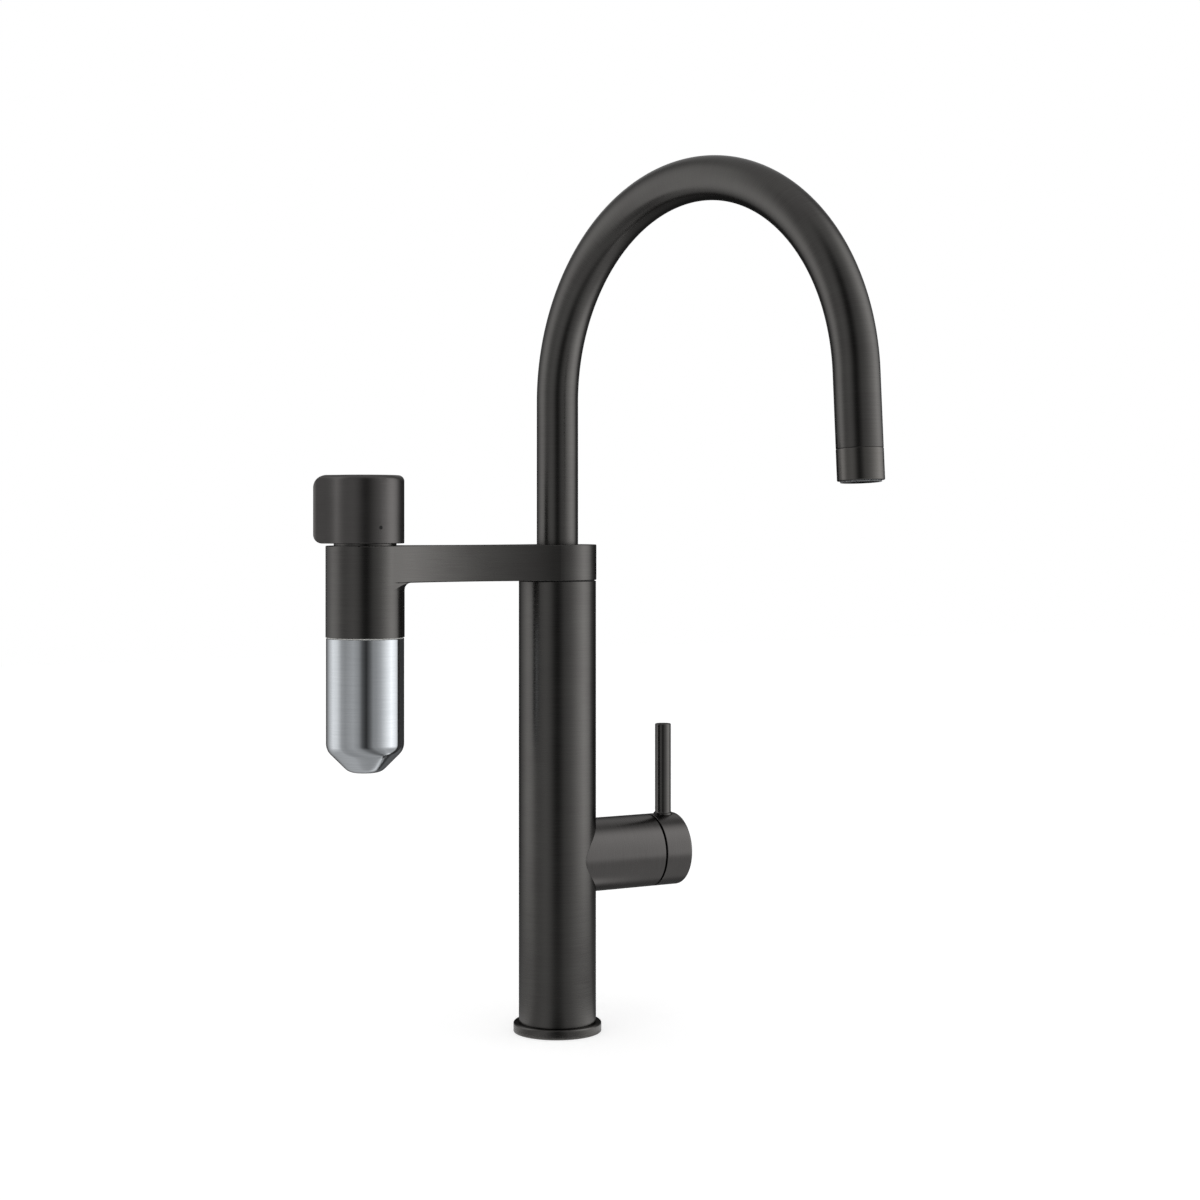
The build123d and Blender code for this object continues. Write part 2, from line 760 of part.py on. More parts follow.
def valve_headwork():
    seal, _, moving = valve_levels()
    chamber_top = moving + 3 * run_gap + spindle_fork_height
    neck_top = arm_top + valve_neck_top
    body = rod(valve_bore_d / 2 - seat_gap, seal, arm_top)
    body += rod(valve_flange_d / 2, arm_top, arm_top + valve_flange_height)
    body += rod(valve_neck_d / 2, arm_top, neck_top)
    body -= rod(valve_disc_d / 2 + seat_gap, seal, chamber_top)
    body -= rod(spindle_d / 2 + run_gap, seal, neck_top)
    turn = degrees(asin(filter_side_spread / (valve_bore_d + 2 * seat_gap)))
    for side in (0, 180):
        window = bar_along_x(window_d / 2, 0, valve_bore_d, 0, window_level())
        body -= Rot(0, 0, turn + side) * window
    return filter_axis * body


# Slide ring: plastic washer that fills the gap under the knob and steadies it
def knob_ring():
    inner = valve_flange_d / 2 + seat_gap
    return filter_axis * sleeve(knob_ring_d / 2, inner, arm_top, arm_top + knob_ring_height)


# Pieces that turn with the knob
def valve_moving_disc():
    _, fixed, moving = valve_levels()
    start = fixed + run_gap
    disc = rod(valve_disc_d / 2 - free_gap, start, moving)
    disc -= disc_holes(waterway_d / 2, start, moving)
    return filter_axis * Rot(0, 0, 90) * disc


def filter_spindle():
    start = valve_levels()[2] + run_gap
    clip_low = arm_top + valve_neck_top + run_gap
    spindle = rod(valve_disc_d / 2 - free_gap, start, start + spindle_fork_height)
    way = rod(waterway_d / 2, start, window_level())
    way += bar_along_x(waterway_d / 2, 0, valve_disc_d, 0, window_level())
    spindle -= [Rot(0, 0, turn) * Pos(valve_disc_d / 4, 0, 0) * way for turn in (90, 270)]
    spindle += rod(spindle_d / 2, start, arm_top + spindle_top)
    groove = sleeve(spindle_d / 2, spindle_d / 2 - clip_groove, clip_low, clip_low + clip_thickness)
    return filter_axis * (spindle - groove)


def spindle_clip():
    clip_low = arm_top + valve_neck_top + run_gap
    inner = spindle_d / 2 - clip_groove + seat_gap
    clip = sleeve(inner + clip_width, inner, clip_low, clip_low + clip_thickness)
    mouth = Box(spindle_d, clip_width, clip_thickness, align=(Align.MIN, Align.CENTER, Align.MIN))
    mouth = Pos(0, 0, clip_low) * mouth
    return filter_axis * (clip - mouth)


def knob_adaptor():
    low = arm_top + adaptor_start
    high = arm_top + adaptor_end
    return filter_axis * sleeve(adaptor_d / 2, spindle_d / 2 + seat_gap, low, high)


def knob_plan():
    """Outline of the knob: a circle with a tapered thumb lug along +X, blended in."""
    tip = lug_tip_width / 2
    root = tip + lug_reach * tan(radians(lug_taper))
    lug = make_face(Polyline((0, root), (lug_reach, tip), (lug_reach, -tip), (0, -root), close=True))
    plan = Circle(knob_d / 2) + lug
    corners = plan.vertices().sort_by(Axis.X)
    plan = fillet(corners[-2:], lug_corner)
    corners = plan.vertices().filter_by(lambda v: abs(v.Y) > tip and v.X > 0).sort_by(Axis.X)
    return fillet(corners[:2], lug_blend)


def lug_side():
    """Side view of the knob: straight on the round side, rounded at the lug's end."""
    back = -knob_d
    centre = ((back + lug_reach) / 2, (knob_low + knob_top) / 2)
    side = Pos(*centre) * Rectangle(lug_reach - back, knob_height)
    side = fillet(side.vertices().group_by(Axis.X)[-1].sort_by(Axis.Y)[0], lug_low_round)
    side = fillet(side.vertices().group_by(Axis.Y)[-1].sort_by(Axis.X)[-1], lug_top_round)
    return extrude(Plane.XZ * side, knob_d, both=True)


def filter_knob():
    knob = Pos(0, 0, knob_low) * extrude(knob_plan(), knob_height)
    knob = fillet(knob.edges().group_by(Axis.Z)[-1], knob_top_edge)
    knob = fillet(knob.edges().group_by(Axis.Z)[0], knob_low_edge)
    knob &= lug_side()
    adaptor_low = arm_top + adaptor_start
    hub = rod(adaptor_d / 2 + hub_wall, adaptor_low, knob_top - knob_top_wall)
    hub -= rod(adaptor_d / 2 + seat_gap, adaptor_low, arm_top + adaptor_end + seat_gap)
    knob -= rod(knob_cavity_d / 2, knob_low, knob_top - knob_top_wall)
    knob = Rot(0, 0, lug_azimuth) * (knob + hub)
    return filter_axis * (knob - dot_bar(dot_d / 2 + seat_gap, 0, dot_depth))


def dot_bar(radius, recess, depth):
    """Bar for the position dot, set in the front of the knob."""
    start = knob_d / 2 - depth
    return Pos(0, 0, knob_low + dot_rise) * Rot(90, 0, 0) * rod(radius, start, knob_d / 2 - recess)


def position_dot():
    return filter_axis * dot_bar(dot_d / 2, dot_recess, dot_depth)


# Filter cup: spun steel cup with a coned bottom and a slimmer neck that screws into the housing
def cup_form(inset, top):
    """Solid of the cup's outline, set inwards by a wall thickness."""
    low = cup_bottom + inset
    wide = cup_d / 2 - inset
    shift = inset * (sqrt(2) - 1)
    flat = cup_flat_r - shift
    turn = cup_bottom + cup_d / 2 - cup_flat_r + shift
    radii = [cup_heel_fillet - inset, cup_shoulder_fillet - inset]
    edge = FilletPolyline((0, low), (flat, low), (wide, turn), (wide, top), radius=radii)
    close = Polyline((wide, top), (0, top), (0, low))
    return revolve(Plane.XZ * make_face(edge + close), Axis.Z)


def filter_cup():
    top = cup_shoulder + cup_neck_length
    cup = cup_form(0, cup_shoulder) + rod(cup_neck_r, cup_shoulder - cup_wall, top)
    cup -= cup_form(cup_wall, cup_shoulder - cup_wall) + rod(cup_neck_bore, cup_bottom + cup_d / 2, top)
    return filter_axis * (cup - cup_ring(seat_gap, cup_neck_r))


def cup_ring(gap, outer):
    """Round-section seal near the top of the cup's neck, or its groove."""
    top = cup_shoulder + cup_neck_length - cup_ring_drop
    inner = cup_neck_r - cup_neck_wall / 2
    return sleeve(outer, inner + seat_gap - gap, top - cup_ring_thickness - gap, top + gap)


def cup_seal():
    return filter_axis * cup_ring(0, cup_neck_r + slide_gap - run_gap)


def slip_washer():
    low = cup_shoulder + run_gap
    return filter_axis * sleeve(washer_d / 2, cup_neck_r + slide_gap, low, low + washer_thickness)


# Filter cartridge: slotted cage, fibre core, base with centring pin, cap with sealed neck
def filter_cage():
    low = filter_low + filter_base_height
    high = filter_top - filter_cap_height
    cage = sleeve(filter_d / 2, filter_d / 2 - filter_wall, low, high)
    tall = high - low - 2 * filter_window_margin
    window = Box(filter_d, filter_window_width, tall, align=(Align.MIN, Align.CENTER, Align.MIN))
    for turn in range(filter_window_count):
        cage -= Rot(0, 0, turn * 360 / filter_window_count) * Pos(0, 0, low + filter_window_margin) * window
    return filter_axis * cage


def filter_core():
    low = filter_low + filter_base_height
    high = filter_top - filter_cap_height
    return filter_axis * sleeve(filter_core_d / 2, waterway_d / 2, low, high)


def filter_base():
    pin_low = cup_bottom + cup_wall + free_gap
    base = rod(filter_d / 2, filter_low, filter_low + filter_base_height)
    return filter_axis * (base + rod(filter_pin_d / 2, pin_low, filter_low))


def neck_rings(gap, outer):
    """The two seals of the cartridge's neck, or their grooves."""
    inner = filter_neck_d / 2 - filter_ring_thickness / 2
    rings = []
    half = filter_ring_thickness / 2 + gap
    for step in (1, 2):
        level = filter_top + step * filter_ring_pitch
        rings.append(sleeve(outer, inner + seat_gap - gap, level - half, level + half))
    return rings


def filter_cap():
    low = filter_top - filter_cap_height
    cap = rod(filter_d / 2, low, filter_top) + rod(filter_neck_d / 2, low, filter_top + filter_neck_length)
    cap -= rod(waterway_d / 2, low, filter_top + filter_neck_length)
    return filter_axis * (cap - neck_rings(seat_gap, filter_neck_d / 2))


def filter_neck_seals():
    return filter_axis * Compound(neck_rings(0, filter_neck_d / 2 + slide_gap - run_gap))


# Spout: swan-neck tube, one straight rise, one arch and a short straight tail
def spout_path(low, tail):
    """Centre line of the spout from a height up, over the arch and down its tail."""
    rise = Line((0, low), (0, arch_height))
    arch = CenterArc((arch_radius, arch_height), arch_radius, 180, -arch_sweep)
    end = arch @ 1
    drop = Line(end, end + (arch % 1) * tail)
    return spout_plane * (rise + arch + drop)


def swept_tube(outer, inner, low, tail):
    """Hollow tube along the spout's centre line."""
    section = Pos(0, 0, low) * (Circle(outer) - Circle(inner))
    return sweep(section, path=spout_path(low, tail))


def outlet_plane():
    """Plane across the tail where the nozzle meets the tube, looking down the flow."""
    path = spout_path(head_top, tail_length)
    return Plane(origin=path @ 1, z_dir=path % 1)


def spout_tube():
    return swept_tube(spout_r, spout_bore, head_top, tail_length)


def drinking_tube():
    """Separate inner tube that carries filtered water to the outlet."""
    end = tail_length + nozzle_length - drinking_tube_end
    outer = drinking_tube_d / 2
    return swept_tube(outer, outer - drinking_tube_wall, spigot_tube_seat(), end)


def spout_nozzle():
    nozzle = rod(spout_r, 0, nozzle_length)
    nozzle = chamfer(nozzle.edges().filter_by(GeomType.CIRCLE), nozzle_groove)
    nozzle += rod(spout_bore - seat_gap, -nozzle_spigot, 0)
    nozzle -= rod(spout_r - nozzle_wall - spout_wall, -nozzle_spigot, nozzle_length)
    return outlet_plane() * (nozzle - rod(aerator_d / 2 + seat_gap, aerator_start, nozzle_length))


def aerator_body():
    body = rod(aerator_d / 2, aerator_start, nozzle_length - aerator_lip)
    body += rod(aerator_lip_d / 2, aerator_start, nozzle_length + aerator_lip)
    body -= rod(aerator_mouth_d / 2, screen_start(), nozzle_length + aerator_lip)
    body -= rod(drinking_tube_d / 2 + seat_gap, aerator_start, nozzle_length)
    way = Pos(aerator_way_r, 0, 0) * rod(aerator_way_d / 2, aerator_start, screen_start())
    body -= [Rot(0, 0, turn * 360 / aerator_way_count) * way for turn in range(aerator_way_count)]
    return outlet_plane() * body


def screen_start():
    return nozzle_length + aerator_lip - aerator_mouth_depth


def aerator_screen():
    start = screen_start()
    screen = rod(aerator_mouth_d / 2 - seat_gap, start, start + screen_thickness)
    hole = rod(screen_hole_d / 2, start, start + screen_thickness)
    screen -= hole
    for ring in range(1, screen_ring_count + 1):
        count = 6 * ring
        for turn in range(count):
            screen -= Rot(0, 0, turn * 360 / count) * Pos(ring * screen_pitch, 0, 0) * hole
    return outlet_plane() * screen


# Spout spigot: hollow brass journal in the column head, with grooves for slide rings and seals
def spigot_tube_seat():
    return way_level + spigot_tube_rise


def spigot_bands():
    """Low and high edge of each grooved band: the two slide rings, then the two seals."""
    slides = [(spigot_low + up, spigot_low + up + slide_ring_height) for up in slide_ring_levels]
    half = spout_o_ring_height / 2
    middles = [way_level + side * spout_o_ring_offset for side in (-1, 1)]
    return slides, [(middle - half, middle + half) for middle in middles]


def band_rings(bands, gap, outer):
    """Rings lying in the spigot's grooves, or the grooves themselves."""
    inner = spigot_r - spigot_groove_depth + seat_gap - gap
    return [sleeve(outer, inner, low - gap, high + gap) for low, high in bands]


def stop_groove():
    """Groove in the spigot for the stop screw's dog: as long as the spout's swing."""
    depth_r = spigot_r - spigot_groove_depth
    half = degrees(asin((stop_dog_d / 2 + slide_gap) / depth_r))
    rest = spout_azimuth - front_azimuth
    start = 90 - spout_swing + rest - half
    sweep_angle = 2 * (spout_swing + half)
    band = Rectangle(spigot_d - depth_r, stop_dog_d + 2 * free_gap)
    band = Pos((depth_r + spigot_d) / 2, stop_level) * band
    return Rot(0, 0, start) * revolve(Plane.XZ * band, Axis.Z, sweep_angle)


def spout_spigot():
    slides, seals = spigot_bands()
    web_low = way_level - spigot_web / 2
    web_high = way_level + spigot_web / 2
    spigot = rod(spigot_r, spigot_low, head_top)
    spigot += rod(spout_bore - seat_gap, head_top, head_top + spigot_neck_length)
    spigot -= rod(spigot_core_d / 2, spigot_low, web_low)
    spigot -= rod(spigot_core_d / 2, web_high, head_top + spigot_neck_length)
    spigot -= rod(drinking_tube_d / 2 + seat_gap, spigot_tube_seat(), web_high)
    spigot -= rod(drinking_tube_d / 2 - drinking_tube_wall, way_level - spigot_tube_rise, web_high)
    spigot -= bar_along_x(waterway_d / 2, 0, spigot_r, 0, way_level)
    way_reach = (spigot_core_d - spigot_way_d) / 2 - free_gap
    way = Pos(way_reach, 0, 0) * rod(spigot_way_d / 2, web_low, web_high)
    for turn in (90, 180, 270):
        spigot -= Rot(0, 0, turn) * way
    spigot -= band_rings(slides + seals, seat_gap, spigot_r)
    return spigot - stop_groove()


def slide_rings():
    return Compound(band_rings(spigot_bands()[0], 0, bearing_r))


def spout_o_rings():
    return Compound(band_rings(spigot_bands()[1], 0, bearing_r))


def cartridge_stack():
    """Seal, base and fixed disc of the mixing cartridge, from the chamber floor outwards."""
    seal = cartridge_floor()
    base = seal + cartridge_seal_thickness
    disc = base + cartridge_base_thickness
    inner = cartridge_d / 2
    half = cartridge_base_thickness / 2
    back = rod(inner, base, base + half) - port_holes(body_ports(), base, base + half)
    front = rod(inner, base + half, disc) - port_links(base + half, disc)
    return {
        "cartridge_seal": cartridge_plate(body_ports(), inner, seal, cartridge_seal_thickness),
        "cartridge_base": branch * (back + front),
        "fixed_disc": cartridge_plate(disc_ports(), fixed_disc_d / 2, disc, disc_thickness),
    }


pieces = {
    "base_flange": base_flange(),
    "base_seal": base_seal(),
    "foot_insert": foot_insert(),
    "column_tube": column_tube(),
    "hot_feed_pipe": feed_pipe(1),
    "cold_feed_pipe": feed_pipe(-1),
    "mixed_riser": mixed_riser(),
    "filter_riser": filter_riser(),
    "mixer_branch": mixer_branch(),
    "valve_body": valve_body(),
    **cartridge_stack(),
    "cartridge_housing": cartridge_housing(),
    "cartridge_nut": cartridge_nut(),
    "cover_ring": cover_ring(),
    "cartridge_rotor": cartridge_rotor(),
    "rotor_pin": rotor_pin(),
    "lever_stem": lever_stem(),
    "moving_disc": moving_disc(),
    "lever_cap": lever_cap(),
    "lever_rod": lever_rod(),
    "column_head": column_head(),
    "stop_screw": stop_screw(),
    "filter_arm": filter_arm(),
    "filter_socket": filter_socket(),
    "valve_seal": valve_seal(),
    "valve_fixed_disc": valve_fixed_disc(),
    "valve_headwork": valve_headwork(),
    "knob_ring": knob_ring(),
    "valve_moving_disc": valve_moving_disc(),
    "filter_spindle": filter_spindle(),
    "spindle_clip": spindle_clip(),
    "knob_adaptor": knob_adaptor(),
    "filter_knob": filter_knob(),
    "position_dot": position_dot(),
    "filter_cup": filter_cup(),
    "cup_seal": cup_seal(),
    "slip_washer": slip_washer(),
    "filter_cage": filter_cage(),
    "filter_core": filter_core(),
    "filter_base": filter_base(),
    "filter_cap": filter_cap(),
    "filter_neck_seals": filter_neck_seals(),
    "spout_tube": spout_tube(),
    "spout_nozzle": spout_nozzle(),
    "aerator_body": aerator_body(),
    "aerator_screen": aerator_screen(),
    "drinking_tube": drinking_tube(),
    "spout_spigot": spout_spigot(),
    "slide_rings": slide_rings(),
    "spout_o_rings": spout_o_rings(),
}

os.makedirs("parts", exist_ok=True)
for node, shape in pieces.items():
    export_step(shape, f"parts/{node}.step")
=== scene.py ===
from math import cos, pi, radians, sin, sqrt

import bmesh
import bpy
import numpy as np
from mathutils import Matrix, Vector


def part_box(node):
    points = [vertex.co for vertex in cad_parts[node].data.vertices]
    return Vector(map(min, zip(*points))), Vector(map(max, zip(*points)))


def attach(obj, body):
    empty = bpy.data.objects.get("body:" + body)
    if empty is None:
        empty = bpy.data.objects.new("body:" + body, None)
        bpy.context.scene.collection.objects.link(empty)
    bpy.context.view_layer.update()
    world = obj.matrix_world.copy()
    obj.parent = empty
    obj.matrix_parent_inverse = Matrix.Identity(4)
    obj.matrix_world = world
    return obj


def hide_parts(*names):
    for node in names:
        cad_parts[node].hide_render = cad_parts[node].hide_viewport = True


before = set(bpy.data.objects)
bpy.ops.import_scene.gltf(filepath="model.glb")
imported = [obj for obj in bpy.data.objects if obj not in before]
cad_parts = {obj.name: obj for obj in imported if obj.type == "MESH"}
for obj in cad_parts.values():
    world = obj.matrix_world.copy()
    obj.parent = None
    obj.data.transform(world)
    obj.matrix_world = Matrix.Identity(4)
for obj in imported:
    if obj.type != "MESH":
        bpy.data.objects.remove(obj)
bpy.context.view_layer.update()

# Base flange: a low steel ring turned on a lathe, which stands on the worktop and covers the tap
# hole. Like all the dark metal it is brushed with a fine belt while it turns, then PVD coated.
# Sizes are in millimetres, and a profile's corners are (radius, height, fillet).
FLANGE_BORE = 17
FLANGE_RADIUS = 22.8
FLANGE_HEIGHT = 5
GROOVE_INSIDE = 18.6
GROOVE_OUTSIDE = 21.2
GROOVE_DEPTH = 1.8
flange_profile = [
    (FLANGE_BORE, 0, 0.2),
    (GROOVE_INSIDE, 0, 0.1),
    (GROOVE_INSIDE, GROOVE_DEPTH, 0),
    (GROOVE_OUTSIDE, GROOVE_DEPTH, 0),
    (GROOVE_OUTSIDE, 0, 0.1),
    (FLANGE_RADIUS, 0, 0.3),
    (FLANGE_RADIUS, FLANGE_HEIGHT, 1.0),
    (FLANGE_BORE, FLANGE_HEIGHT, 0.2),
]

ARC_POINTS = 7
FLAT_HOLD = 0.25  # how far past a fillet, in fillets, a point holds the flat
ROUND_STEPS = 160  # points round a turned piece
SHARP_EDGE = radians(35)
MILLIMETRE = 0.001
MERGE = 2e-7  # metres, within which two points are one
SLIVER = 1e-7


def rounded(corners):
    """Profile through (radius, height, fillet) corners: each fillet is an arc tangent to both
    sides, with one more point on each side that keeps the flats flat."""
    corners = np.array(corners, float)
    outline = []
    neighbours = zip(np.roll(corners, 1, 0), corners, np.roll(corners, -1, 0))
    for before, (x, z, fillet), after in neighbours:
        point = np.array([x, z])
        if fillet <= 0:
            outline.append(point[None])
            continue
        back, on = before[:2] - point, after[:2] - point
        back, on = back / np.hypot(*back), on / np.hypot(*on)
        half = np.arccos(np.clip(back @ on, -1, 1)) / 2
        middle = (back + on) / np.hypot(*(back + on))
        centre = point + middle * fillet / np.sin(half)
        reach = fillet / np.tan(half)
        turn = np.linspace(half - pi / 2, pi / 2 - half, ARC_POINTS)[:, None]
        side = (on - back) / np.hypot(*(on - back))
        arc = centre + fillet * (np.sin(turn) * side - np.cos(turn) * middle)
        hold = FLAT_HOLD * fillet
        outline += [(point + back * (reach + hold))[None], arc, (point + on * (reach + hold))[None]]
    return np.concatenate(outline)


def put(name, data):
    """Puts a mesh, lamp or camera into the scene as an object at the origin."""
    thing = bpy.data.objects.new(name, data)
    bpy.context.collection.objects.link(thing)
    return thing


def surface(name, grid, wrap_rows=True, lay=None):
    """Mesh from a grid of points in mm, shape (rows, columns, 3), joined round its columns and,
    where asked, round its rows. Repeated points are merged, so poles and seams are closed. A lay
    (rows, columns, 3) is kept as the brush attribute, with a UV map that runs round and along."""
    rows, columns = grid.shape[:2]
    index = np.arange(rows * columns).reshape(rows, columns)
    right = np.roll(index, -1, 1)
    down, corner = np.roll(index, -1, 0), np.roll(right, -1, 0)
    last = rows if wrap_rows else rows - 1
    faces = np.stack([index, right, corner, down], -1)[:last].reshape(-1, 4)
    mesh = bpy.data.meshes.new(name)
    mesh.from_pydata((grid.reshape(-1, 3) * MILLIMETRE).tolist(), [], faces.tolist())
    if lay is not None:
        brush = mesh.attributes.new("brush", "FLOAT_VECTOR", "POINT")
        lay_points = (lay.reshape(-1, 3) * MILLIMETRE).astype(np.float32)
        brush.data.foreach_set("vector", lay_points.ravel())
        across, along = np.meshgrid(np.arange(columns) / columns, np.arange(last) / rows)
        step = np.array([[0, 0], [1 / columns, 0], [1 / columns, 1 / rows], [0, 1 / rows]])
        corners = np.stack([across, along], -1)[:, :, None] + step
        mesh.uv_layers.new(name="round").data.foreach_set("uv", corners.astype(np.float32).ravel())
    solid = bmesh.new()
    solid.from_mesh(mesh)
    bmesh.ops.remove_doubles(solid, verts=solid.verts, dist=MERGE)
    bmesh.ops.dissolve_degenerate(solid, edges=solid.edges, dist=SLIVER)
    bmesh.ops.recalc_face_normals(solid, faces=solid.faces)
    solid.to_mesh(mesh)
    solid.free()
    mesh.shade_smooth()
    mesh.set_sharp_from_angle(angle=SHARP_EDGE)
    return put(name, mesh)


def lathe(name, profile, place=lambda x, y, z: (x, y, z)):
    """Surface of revolution: the profile's point (r, z) goes to (r cos a, r sin a, z) for all
    angles a of a full turn, then to its place. A profile that starts and ends on the axis stays
    open there."""
    angle = np.linspace(0, 2 * pi, ROUND_STEPS, endpoint=False)
    radius, height = profile[:, :1], profile[:, 1:2]
    local = (radius * np.cos(angle), radius * np.sin(angle), height + 0 * angle)
    closed = min(profile[0, 0], profile[-1, 0]) > 0
    return surface(name, np.stack(place(*local), -1), closed)


def linear(hex_colour):
    """Linear colour from an sRGB hex value: each channel goes through the sRGB curve."""
    value = np.array([int(hex_colour[i : i + 2], 16) for i in (1, 3, 5)]) / 255
    curve = np.where(value <= 0.04045, value / 12.92, ((value + 0.055) / 1.055) ** 2.4)
    return (*curve, 1.0)


def add(tree, kind, links=None, **settings):
    """Adds a node. Settings name its options or sockets; links join a socket to an output."""
    node = tree.nodes.new(kind)
    for name, value in settings.items():
        if hasattr(node, name):
            setattr(node, name, value)
        else:
            node.inputs[name.replace("_", " ")].default_value = value
    for name, source in (links or {}).items():
        tree.links.new(source, node.inputs[name])
    return node


def blank_material(name):
    """New material and its empty node tree."""
    material = bpy.data.materials.new(name)
    material.use_nodes = True
    material.node_tree.nodes.clear()
    return material, material.node_tree


def finish_metal(
    name,
    colours,
    roughness,
    anisotropy,
    axis="Z",
    along_mm=16.0,
    across_mm=0.4,
    bump_mm=0.0007,
    edge=0.7,
):
    """Brushed metal. Noise drawn out along the brush lines, and soft clouds for the uneven
    pressure of the belt, vary the tone and the roughness, and the lines alone the height. Lines
    run round the named axis, or square to the brush attribute's first part, and edge is the
    brightness of grazing reflections."""
    noise_low, noise_high = 0.35, 0.65  # most of the noise lies between these
    clouds_per_metre, cloud_share = 60.0, 0.4
    glossier, duller = 0.02, 0.03
    material, tree = blank_material(name)
    if axis == "brush":
        place = add(tree, "ShaderNodeAttribute", attribute_name="brush").outputs["Vector"]
        tangent = add(tree, "ShaderNodeTangent", direction_type="UV_MAP", uv_map="round")
        across_axis = 0
    else:
        place = add(tree, "ShaderNodeTexCoord").outputs["Object"]
        tangent = add(tree, "ShaderNodeTangent", direction_type="RADIAL", axis=axis)
        across_axis = "XYZ".index(axis)
    scale = [1000 / along_mm] * 3
    scale[across_axis] = 1000 / across_mm
    stretched = add(tree, "ShaderNodeMapping", {"Vector": place}, Scale=scale)
    lines = add(
        tree, "ShaderNodeTexNoise", {"Vector": stretched.outputs[0]}, Scale=1.0, Detail=4.0
    )
    clouds = add(
        tree, "ShaderNodeTexNoise", {"Vector": place}, Scale=clouds_per_metre, Detail=2.0
    )
    mixed = add(
        tree,
        "ShaderNodeMix",
        {"A": lines.outputs["Fac"], "B": clouds.outputs["Fac"]},
        Factor=cloud_share,
    ).outputs["Result"]
    tone = add(tree, "ShaderNodeValToRGB", {"Fac": mixed})
    for stop, position, colour in zip(tone.color_ramp.elements, (noise_low, noise_high), colours):
        stop.position, stop.color = position, linear(colour)
    rough = add(
        tree,
        "ShaderNodeMapRange",
        {"Value": mixed},
        From_Min=noise_low,
        From_Max=noise_high,
        To_Min=roughness - glossier,
        To_Max=roughness + duller,
    )
    bump = add(
        tree,
        "ShaderNodeBump",
        {"Height": lines.outputs["Fac"]},
        Strength=0.6,
        Distance=bump_mm * MILLIMETRE,
    )
    shader = add(
        tree,
        "ShaderNodeBsdfPrincipled",
        {
            "Base Color": tone.outputs["Color"],
            "Roughness": rough.outputs["Result"],
            "Normal": bump.outputs["Normal"],
            "Tangent": tangent.outputs["Tangent"],
        },
        Metallic=1.0,
        Anisotropic=anisotropy,
        Anisotropic_Rotation=0.25,
        Specular_Tint=(edge, edge, edge, 1.0),
    )
    add(tree, "ShaderNodeOutputMaterial", {"Surface": shader.outputs[0]})
    return material


def stand_in(piece, material, body, slot_name, *nodes):
    """Puts a new piece on its body, in its finish, in place of the CAD nodes that it stands for."""
    piece.data.materials.append(material)
    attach(piece, body)
    if nodes:
        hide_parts(*nodes)


# Finish: stainless steel, belt-brushed and coated dark by PVD. Reflections are sharp along the
# brush lines and soft across them, and hardly coloured. The lines of a fine belt lie 0.1 mm
# apart; they are drawn 0.4 mm apart, so that they show.
GUNMETAL = ("#5A5857", "#61605E")
COAT_ROUGHNESS = 0.27
COAT_ANISOTROPY = 0.45
gunmetal_upright = finish_metal("brushed_gunmetal_pvd", GUNMETAL, COAT_ROUGHNESS, COAT_ANISOTROPY)

flange = lathe("flange_ring", rounded(flange_profile))
stand_in(flange, gunmetal_upright, "tap_body", "gunmetal", "base_flange")


# Seals: black EPDM rubber, moulded, with a matt skin that its bloom greys in 0.8 mm specks. The
# base seal lies in the flange's groove; the round ones seal the filter cup, the filter's neck and
# the spout.
def moulded(name, colours, roughness, grain_mm, bump_mm):
    """Moulded plastic or rubber: fine noise at the grain's size varies tone, gloss and height."""
    noise_low, noise_high = 0.3, 0.7
    uneven = 0.05
    material, tree = blank_material(name)
    place = add(tree, "ShaderNodeTexCoord").outputs["Object"]
    grain = add(
        tree, "ShaderNodeTexNoise", {"Vector": place}, Scale=1000 / grain_mm, Detail=3.0
    ).outputs["Fac"]
    tone = add(tree, "ShaderNodeValToRGB", {"Fac": grain})
    for stop, position, colour in zip(tone.color_ramp.elements, (noise_low, noise_high), colours):
        stop.position, stop.color = position, linear(colour)
    rough = add(
        tree,
        "ShaderNodeMapRange",
        {"Value": grain},
        From_Min=noise_low,
        From_Max=noise_high,
        To_Min=roughness - uneven,
        To_Max=roughness + uneven,
    )
    bump = add(
        tree, "ShaderNodeBump", {"Height": grain}, Strength=0.5, Distance=bump_mm * MILLIMETRE
    )
    shader = add(
        tree,
        "ShaderNodeBsdfPrincipled",
        {
            "Base Color": tone.outputs["Color"],
            "Roughness": rough.outputs["Result"],
            "Normal": bump.outputs["Normal"],
        },
    )
    add(tree, "ShaderNodeOutputMaterial", {"Surface": shader.outputs[0]})
    return material


def dress(material, *nodes):
    """Gives carried-over CAD nodes their finish, in every material slot."""
    for node in nodes:
        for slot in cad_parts[node].material_slots:
            slot.material = material


EPDM = ("#161616", "#1F1F1E")
rubber = moulded("black_epdm_rubber", EPDM, roughness=0.7, grain_mm=0.8, bump_mm=0.02)
dress(rubber, "base_seal", "cartridge_seal", "valve_seal", "cup_seal")
dress(rubber, "filter_neck_seals", "spout_o_rings")

# Foot insert, valve body, column head and the other brass: turned from bar and bored, so the
# yellow metal is bright with the fine rings that the tool leaves 0.3 mm apart, and slightly
# dulled by handling.
BRASS = ("#B59A5C", "#C8AE70")
machined_brass = finish_metal(
    "machined_brass",
    BRASS,
    roughness=0.3,
    anisotropy=0.3,
    along_mm=20.0,
    across_mm=0.3,
    bump_mm=0.006,
)
dress(machined_brass, "foot_insert", "valve_body", "column_head", "spout_spigot")
dress(machined_brass, "valve_headwork", "filter_spindle", "cartridge_nut")

